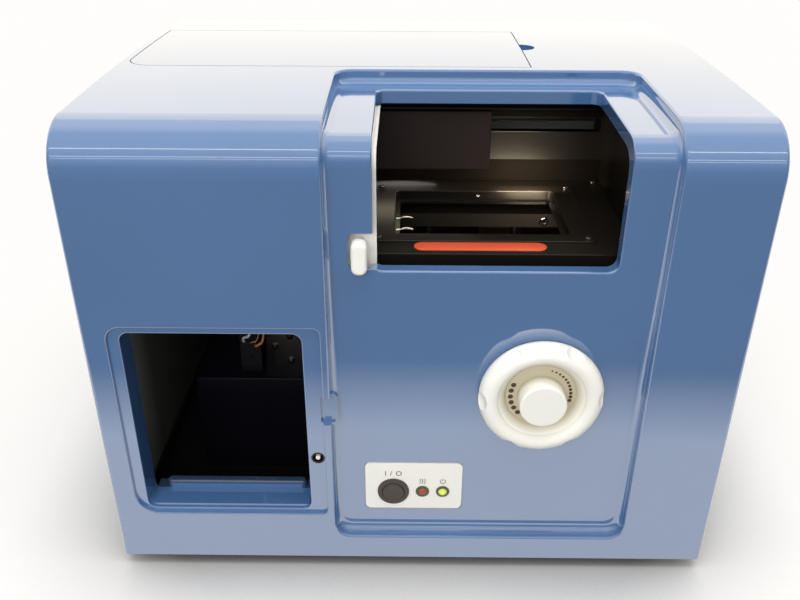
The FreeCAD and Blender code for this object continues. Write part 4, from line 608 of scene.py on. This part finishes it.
# Below the step, the liner's rear wall is flocked, which swallows the light beside the stage
flock_front = front_face_y + 0.1800
flock_top = 0.2872
flock_roughness = 0.6
flock_index = 1.10
coat_index = 1.48
liner_coat, tree, shader = new_finish("chamber_liner_coat")
liner_skin = lay_skin(tree, shader, chamber_black, *chamber_grain)
liner_axes = add_axes(tree)
flocked = add_math(tree, "MULTIPLY", add_math(tree, "GREATER_THAN", liner_axes["Y"], flock_front),
                   add_math(tree, "LESS_THAN", liner_axes["Z"], flock_top))
tree.links.new(add_math(tree, "MULTIPLY_ADD", flocked, flock_roughness,
                        liner_skin.outputs["Roughness"]), shader.inputs["Roughness"])
tree.links.new(add_math(tree, "MULTIPLY_ADD", flocked, flock_index - coat_index, coat_index),
               shader.inputs["IOR"])
dress(liner_coat, "chamber_liner")


# Stage. The stage plate with its apron and the plate frame carry a satin black coat, and their
# upper edges catch the light. Black oxide screws with a polished dome hold them.
dress(new_skin("stage_satin_black", (0.0085, 0.0070, 0.0056), 0.26, 0.08, 0.06, 1400.0, 0.004),
      "stage_plate", "plate_frame")
dress(new_skin("black_oxide_steel", (0.16, 0.155, 0.15), 0.16, 0.06, 0.08, 1500.0, 0.006,
               Metallic=0.9), "frame_screws", "stage_screws")


# Bare orange plate. A thin pill-shaped plate is glued to the front band of the stage, between its
# edge and the plate frame. It is enamelled orange and carries no words.
hair = 0.00001


def pick_edges(piece, wanted):
    bpy.ops.mesh.select_mode(type="EDGE")
    bpy.ops.mesh.select_all(action="DESELECT")
    mesh = bmesh.from_edit_mesh(piece.data)
    for edge in mesh.edges:
        if wanted(edge.verts[0].co, edge.verts[1].co):
            edge.select_set(True)
    bmesh.update_edit_mesh(piece.data)


stage_top_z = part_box("stage_plate")[1].z
plate_left = -0.0007
plate_right = 0.0944
plate_front = front_face_y + 0.0373
plate_depth = 0.0134
plate_thickness = 0.0006
plate_round = 0.49 * plate_depth
plate_chamfer = 0.35 * plate_thickness
bpy.ops.mesh.primitive_cube_add(
    size=1.0, location=((plate_left + plate_right) / 2, plate_front + plate_depth / 2,
                        stage_top_z + plate_thickness / 2))
orange_plate = bpy.context.object
orange_plate.name = "orange_plate"
orange_plate.scale = (plate_right - plate_left, plate_depth, plate_thickness)
bpy.ops.object.transform_apply(location=True, rotation=True, scale=True)
bpy.ops.object.mode_set(mode="EDIT")
pick_edges(orange_plate, lambda one, two: abs(one.z - two.z) > plate_thickness / 2)
bpy.ops.mesh.bevel(offset=plate_round, segments=12)
plate_top = stage_top_z + plate_thickness - hair
pick_edges(orange_plate, lambda one, two: min(one.z, two.z) > plate_top)
bpy.ops.mesh.bevel(offset=plate_chamfer, segments=2)
bpy.ops.object.mode_set(mode="OBJECT")
bpy.ops.object.shade_smooth_by_angle(angle=math.radians(35))
orange_plate.data.materials.append(
    new_skin("orange_enamel", (0.58, 0.080, 0.030), 0.30, 0.04, 0.08, 500.0, 0.008))
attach(orange_plate, "case")
bpy.ops.object.select_all(action="DESELECT")


# Bare metal. Drawn, ground or turned parts keep fine tool lines along one direction, which widen
# the gloss across them: rods, shaft, runner, pinion, rack, screws and collar.
metal_group, metal_in, metal_out = group_with(
    "tool_lines", ["Roughness", "Along", "Across", "Line Height"])
metal_stretch = add_node(metal_group, "ShaderNodeCombineXYZ")
for source, axis in (("Along", "X"), ("Across", "Y"), ("Across", "Z")):
    metal_group.links.new(metal_in.outputs[source], metal_stretch.inputs[axis])
metal_place = add_node(metal_group, "ShaderNodeVectorMath", operation="MULTIPLY")
metal_group.links.new(add_node(metal_group, "ShaderNodeTexCoord").outputs["Object"],
                      metal_place.inputs[0])
metal_group.links.new(metal_stretch.outputs[0], metal_place.inputs[1])
metal_lines = add_noise(metal_group, metal_place.outputs["Vector"], 1.0, 3.0)
metal_shade = add_range(metal_group, metal_lines, 0.0, 1.0, 0.86, 1.08)
metal_group.links.new(add_tone(metal_group, metal_in.outputs["Colour"], metal_shade),
                      metal_out.inputs["Colour"])
metal_group.links.new(add_math(metal_group, "MULTIPLY_ADD", metal_lines, 0.16,
                               metal_in.outputs["Roughness"]), metal_out.inputs["Roughness"])
metal_group.links.new(add_bump(metal_group, add_math(metal_group, "MULTIPLY", metal_lines,
                                                     metal_in.outputs["Line Height"])),
                      metal_out.inputs["Normal"])


def new_metal(name, colour, roughness, along, across, height):
    finish, finish_tree, metal_shader = new_finish(name)
    lines = add_node(finish_tree, "ShaderNodeGroup", node_tree=metal_group)
    for value, socket in zip(((*colour, 1), roughness, along, across, height), lines.inputs):
        socket.default_value = value
    metal_shader.inputs["Metallic"].default_value = 1.0
    finish_tree.links.new(lines.outputs["Colour"], metal_shader.inputs["Base Color"])
    finish_tree.links.new(lines.outputs["Roughness"], metal_shader.inputs["Roughness"])
    finish_tree.links.new(lines.outputs["Normal"], metal_shader.inputs["Normal"])
    return finish


ground_steel = new_metal("ground_steel", (0.60, 0.60, 0.59), 0.16, 60.0, 900.0, 0.010)
dress(ground_steel, "guide_rods", "knob_shaft", "retaining_collar", "head_rail", "foot_screws",
      "rear_panel_screws", "data_socket", "tension_screw")
dress(new_metal("milled_aluminium", (0.74, 0.75, 0.76), 0.24, 90.0, 700.0, 0.012),
      "rod_base", "focus_carriage", "head_runner")
dress(new_metal("cut_brass", (0.72, 0.53, 0.25), 0.20, 300.0, 900.0, 0.010),
      "drive_pinion", "focus_rack", "panel_bush")
dress(new_metal("black_anodised", (0.045, 0.043, 0.040), 0.34, 500.0, 800.0, 0.010),
      "camera_body", "lens_barrel")

# The motor and the rods' bridge are painted in dull dark brown, and the knob shaft's bracket, the
# rail's beam and the power supply's case are zinc-plated sheet
dress(new_skin("motor_paint", (0.020, 0.0165, 0.0135), 0.50, 0.10, 0.10, 500.0, 0.012),
      "scan_motor", "rod_bridge")
dress(new_skin("zinc_sheet", (0.44, 0.45, 0.46), 0.36, 0.10, 0.16, 300.0, 0.010, Metallic=0.85),
      "shaft_bracket", "rail_beam", "power_supply")


# Plate stop. A spring plunger with a polished steel ball sits in the rear wall of the plate
# frame's pocket and presses the culture plate forwards.
socket_land = 0.3
socket_draft = 0.08


def turn_pin(name, foot, way, radius, length, dome, recess, finish):
    foot = Vector(foot)
    way = Vector(way)
    bpy.ops.object.select_all(action="DESELECT")
    bpy.ops.mesh.primitive_cylinder_add(vertices=24, radius=radius, depth=length,
                                        location=foot + way * length / 2,
                                        rotation=way.to_track_quat("Z", "Y").to_euler())
    pin = bpy.context.object
    pin.name = name
    bpy.ops.object.transform_apply(location=True, rotation=True, scale=True)
    tip = foot.dot(way) + length - hair
    bpy.ops.object.mode_set(mode="EDIT")
    pick_edges(pin, lambda one, two: min(one.dot(way), two.dot(way)) > tip)
    bpy.ops.mesh.bevel(offset=dome, segments=5)
    if recess:
        pick_edges(pin, lambda one, two: min(one.dot(way), two.dot(way)) > tip)
        bpy.ops.mesh.edge_face_add()
        bpy.ops.mesh.select_mode(type="FACE")
        flat = radius - dome
        bpy.ops.mesh.inset(thickness=flat * socket_land, depth=0.0)
        bpy.ops.mesh.inset(thickness=flat * socket_draft, depth=-recess)
    bpy.ops.object.mode_set(mode="OBJECT")
    bpy.ops.object.shade_smooth_by_angle(angle=math.radians(40))
    pin.data.materials.append(finish)
    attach(pin, "case")
    bpy.ops.object.select_all(action="DESELECT")
    return pin


polished_steel = new_metal("polished_steel", (0.80, 0.79, 0.77), 0.06, 400.0, 500.0, 0.002)
to_front = (0, -1, 0)
stop_place = (0.0527, front_face_y + 0.1515, 0.2655)
stop_radius = 0.0017
stop_reach = 0.0032
turn_pin("plate_stop", stop_place, to_front, stop_radius, stop_reach, 0.00165, 0.0,
         polished_steel)


# Bridge screw. One bright screw with a socket clamps the bridge that ties the tops of the camera's
# guide rods, and shows through the stage's opening.
bridge_screw_x = 0.1107
bridge_screw_radius = 0.0042
bridge_screw_head = 0.0030
bridge_low, bridge_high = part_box("rod_bridge")
turn_pin("bridge_screw", (bridge_screw_x, bridge_low.y, (bridge_low.z + bridge_high.z) / 2),
         to_front, bridge_screw_radius, bridge_screw_head, 0.0012, 0.0010, polished_steel)


# Leaf springs. Two bright strips of spring steel lie on the left ledge of the pocket and rise a
# little over the opening, where they steady the culture plate.
leaf_width = 0.0038
leaf_half_gauge = 0.00015
leaf_line = ((-0.0142, 0.0), (-0.0115, 0.0), (-0.0085, 0.0012), (-0.0040, 0.0013), (-0.0012, 0.0006))
pocket_depth = 0.0080
ledge_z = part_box("plate_frame")[1].z - pocket_depth + leaf_half_gauge
for number, leaf_y in enumerate((front_face_y + 0.1120, front_face_y + 0.0885)):
    leaf_curve = bpy.data.curves.new("leaf_spring_%d" % (number + 1), "CURVE")
    leaf_curve.dimensions = "2D"
    leaf_curve.fill_mode = "NONE"
    leaf_curve.extrude = leaf_width / 2
    leaf_curve.bevel_depth = leaf_half_gauge
    strip = leaf_curve.splines.new("NURBS")
    strip.points.add(len(leaf_line) - 1)
    for point, (x, rise) in zip(strip.points, leaf_line):
        point.co = (x, rise, 0, 1)
    strip.order_u = 3
    strip.use_endpoint_u = True
    leaf = bpy.data.objects.new(leaf_curve.name, leaf_curve)
    scene.collection.objects.link(leaf)
    leaf.select_set(True)
    bpy.context.view_layer.objects.active = leaf
    bpy.ops.object.convert(target="MESH")
    leaf = bpy.context.object
    leaf.rotation_euler = (math.radians(90), 0, 0)
    leaf.location = (0, leaf_y, ledge_z)
    bpy.ops.object.transform_apply(location=True, rotation=True, scale=True)
    leaf.data.materials.append(polished_steel)
    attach(leaf, "case")
    bpy.ops.object.select_all(action="DESELECT")


# Compartment screws. Three bright pan-head screws of ground steel, each with a socket, sit in the
# top of the black box behind the compartment's opening.
box_top_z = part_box("inner_box")[1].z
box_screws = ((-0.1281, 0.1639), (-0.1096, 0.1399), (-0.1164, 0.1823))
box_screw_radius = 0.0028
box_screw_head = 0.0022
for number, (screw_x, screw_depth) in enumerate(box_screws):
    turn_pin("box_screw_%d" % (number + 1), (screw_x, front_face_y + screw_depth, box_top_z),
             (0, 0, 1), box_screw_radius, box_screw_head, 0.0009, 0.0009, ground_steel)


# Compartment wires. Two short insulated wires and a bare copper one leave the terminal block's
# face, turn up and run to a rubber grommet in the left side plate.
grommet_place = Vector((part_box("chassis_left")[0].x, front_face_y + 0.150, 0.205))
rubber_black = new_skin("black_rubber", (0.012, 0.012, 0.012), 0.55, 0.08, 0.12, 500.0, 0.02)
grommet_radius = 0.0075
grommet_lip = 0.0035
grommet_approach = Vector((-0.020, -0.004, 0.0))
wire_insertion = 0.001
turn_pin("wire_grommet", grommet_place, (-1, 0, 0), grommet_radius, grommet_lip, 0.0016, 0.0,
         rubber_black)
block_face = front_face_y + 0.122
wires = (("white_wire", 0.0012, (0.50, 0.48, 0.45), 0.45, 0.0,
          ((-0.1465, 0.0010, 0.1405), (-0.1465, -0.0050, 0.1425), (-0.1462, -0.0075, 0.1490),
           (-0.1400, -0.0060, 0.1485), (-0.1385, -0.0060, 0.1700), (-0.1250, 0.0150, 0.1980))),
         ("copper_wire", 0.0009, (0.80, 0.36, 0.16), 0.22, 1.0,
          ((-0.1420, 0.0010, 0.1385), (-0.1425, -0.0050, 0.1400), (-0.1395, -0.0065, 0.1440),
           (-0.1345, -0.0055, 0.1435), (-0.1310, -0.0030, 0.1600), (-0.1200, 0.0150, 0.1960))),
         ("orange_wire", 0.0011, (0.42, 0.16, 0.06), 0.40, 0.0,
          ((-0.1375, 0.0010, 0.1370), (-0.1370, -0.0055, 0.1380), (-0.1330, -0.0070, 0.1415),
           (-0.1295, -0.0050, 0.1430), (-0.1290, -0.0010, 0.1560), (-0.1180, 0.0150, 0.1940))))
for name, radius, colour, roughness, metal, line in wires:
    wire_curve = bpy.data.curves.new(name, "CURVE")
    wire_curve.dimensions = "3D"
    wire_curve.bevel_depth = radius
    wire_curve.bevel_resolution = 3
    wire_curve.use_fill_caps = True
    run = wire_curve.splines.new("NURBS")
    run.points.add(len(line) + 1)
    for point, (x, out, z) in zip(run.points, line):
        point.co = (x, block_face + out, z, 1)
    run.points[-2].co = (*(grommet_place + grommet_approach), 1)
    run.points[-1].co = (grommet_place.x + wire_insertion, grommet_place.y, grommet_place.z, 1)
    run.order_u = 3
    run.use_endpoint_u = True
    wire = bpy.data.objects.new(name, wire_curve)
    scene.collection.objects.link(wire)
    wire.select_set(True)
    bpy.context.view_layer.objects.active = wire
    bpy.ops.object.convert(target="MESH")
    wire = bpy.context.object
    bpy.ops.object.shade_smooth()
    wire.data.materials.append(new_skin(name + "_finish", colour, roughness, 0.05, 0.08, 600.0,
                                        0.01, Metallic=metal))
    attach(wire, "case")
    bpy.ops.object.select_all(action="DESELECT")


# Light head. A black moulded box with a soft grain hangs at the upper left of the chamber on its
# arm, and its opal plate glows warmly on the culture plate while the head travels to the right.
dress(new_skin("head_black", (0.0205, 0.0132, 0.0112), 0.50, 0.12, 0.12, 700.0, 0.035),
      "light_head")
dress(new_skin("opal_plate", (0.80, 0.80, 0.77), 0.30, 0.02, 0.05, 500.0, 0.01,
               Subsurface_Weight=0.15, Subsurface_Radius=(0.003, 0.003, 0.003),
               Emission_Color=(1.0, 0.86, 0.62, 1), Emission_Strength=2.0), "head_diffuser")


# Lens. The camera under the stage looks up through a coated front lens.
dress(new_skin("lens_glass", (0.50, 0.56, 0.66), 0.04, 0.02, 0.03, 200.0, 0.002,
               Transmission_Weight=0.85, IOR=1.52), "lens_glass")


# Heater film. A ring of amber polyimide film lies under the stage, round the plate frame.
dress(new_skin("heater_film", (0.62, 0.27, 0.04), 0.22, 0.10, 0.10, 400.0, 0.02), "heater_film")


# Black mouldings. The fan's frame and wheel, the mains inlet and the catch's cup are glass-filled
# nylon, and the terminal block is a duller, blacker phenolic.
dress(new_skin("black_moulding", (0.014, 0.014, 0.015), 0.34, 0.08, 0.12, 700.0, 0.02),
      "fan_housing", "fan_impeller", "mains_inlet", "catch_cup")
dress(new_skin("terminal_black", (0.006, 0.006, 0.008), 0.40, 0.08, 0.10, 700.0, 0.02, IOR=1.25),
      "terminal_block")


# Controller board. Green solder resist over copper, on stand-offs beside the right side plate.
dress(new_skin("solder_resist", (0.020, 0.16, 0.06), 0.30, 0.10, 0.10, 500.0, 0.02),
      "controller_board")
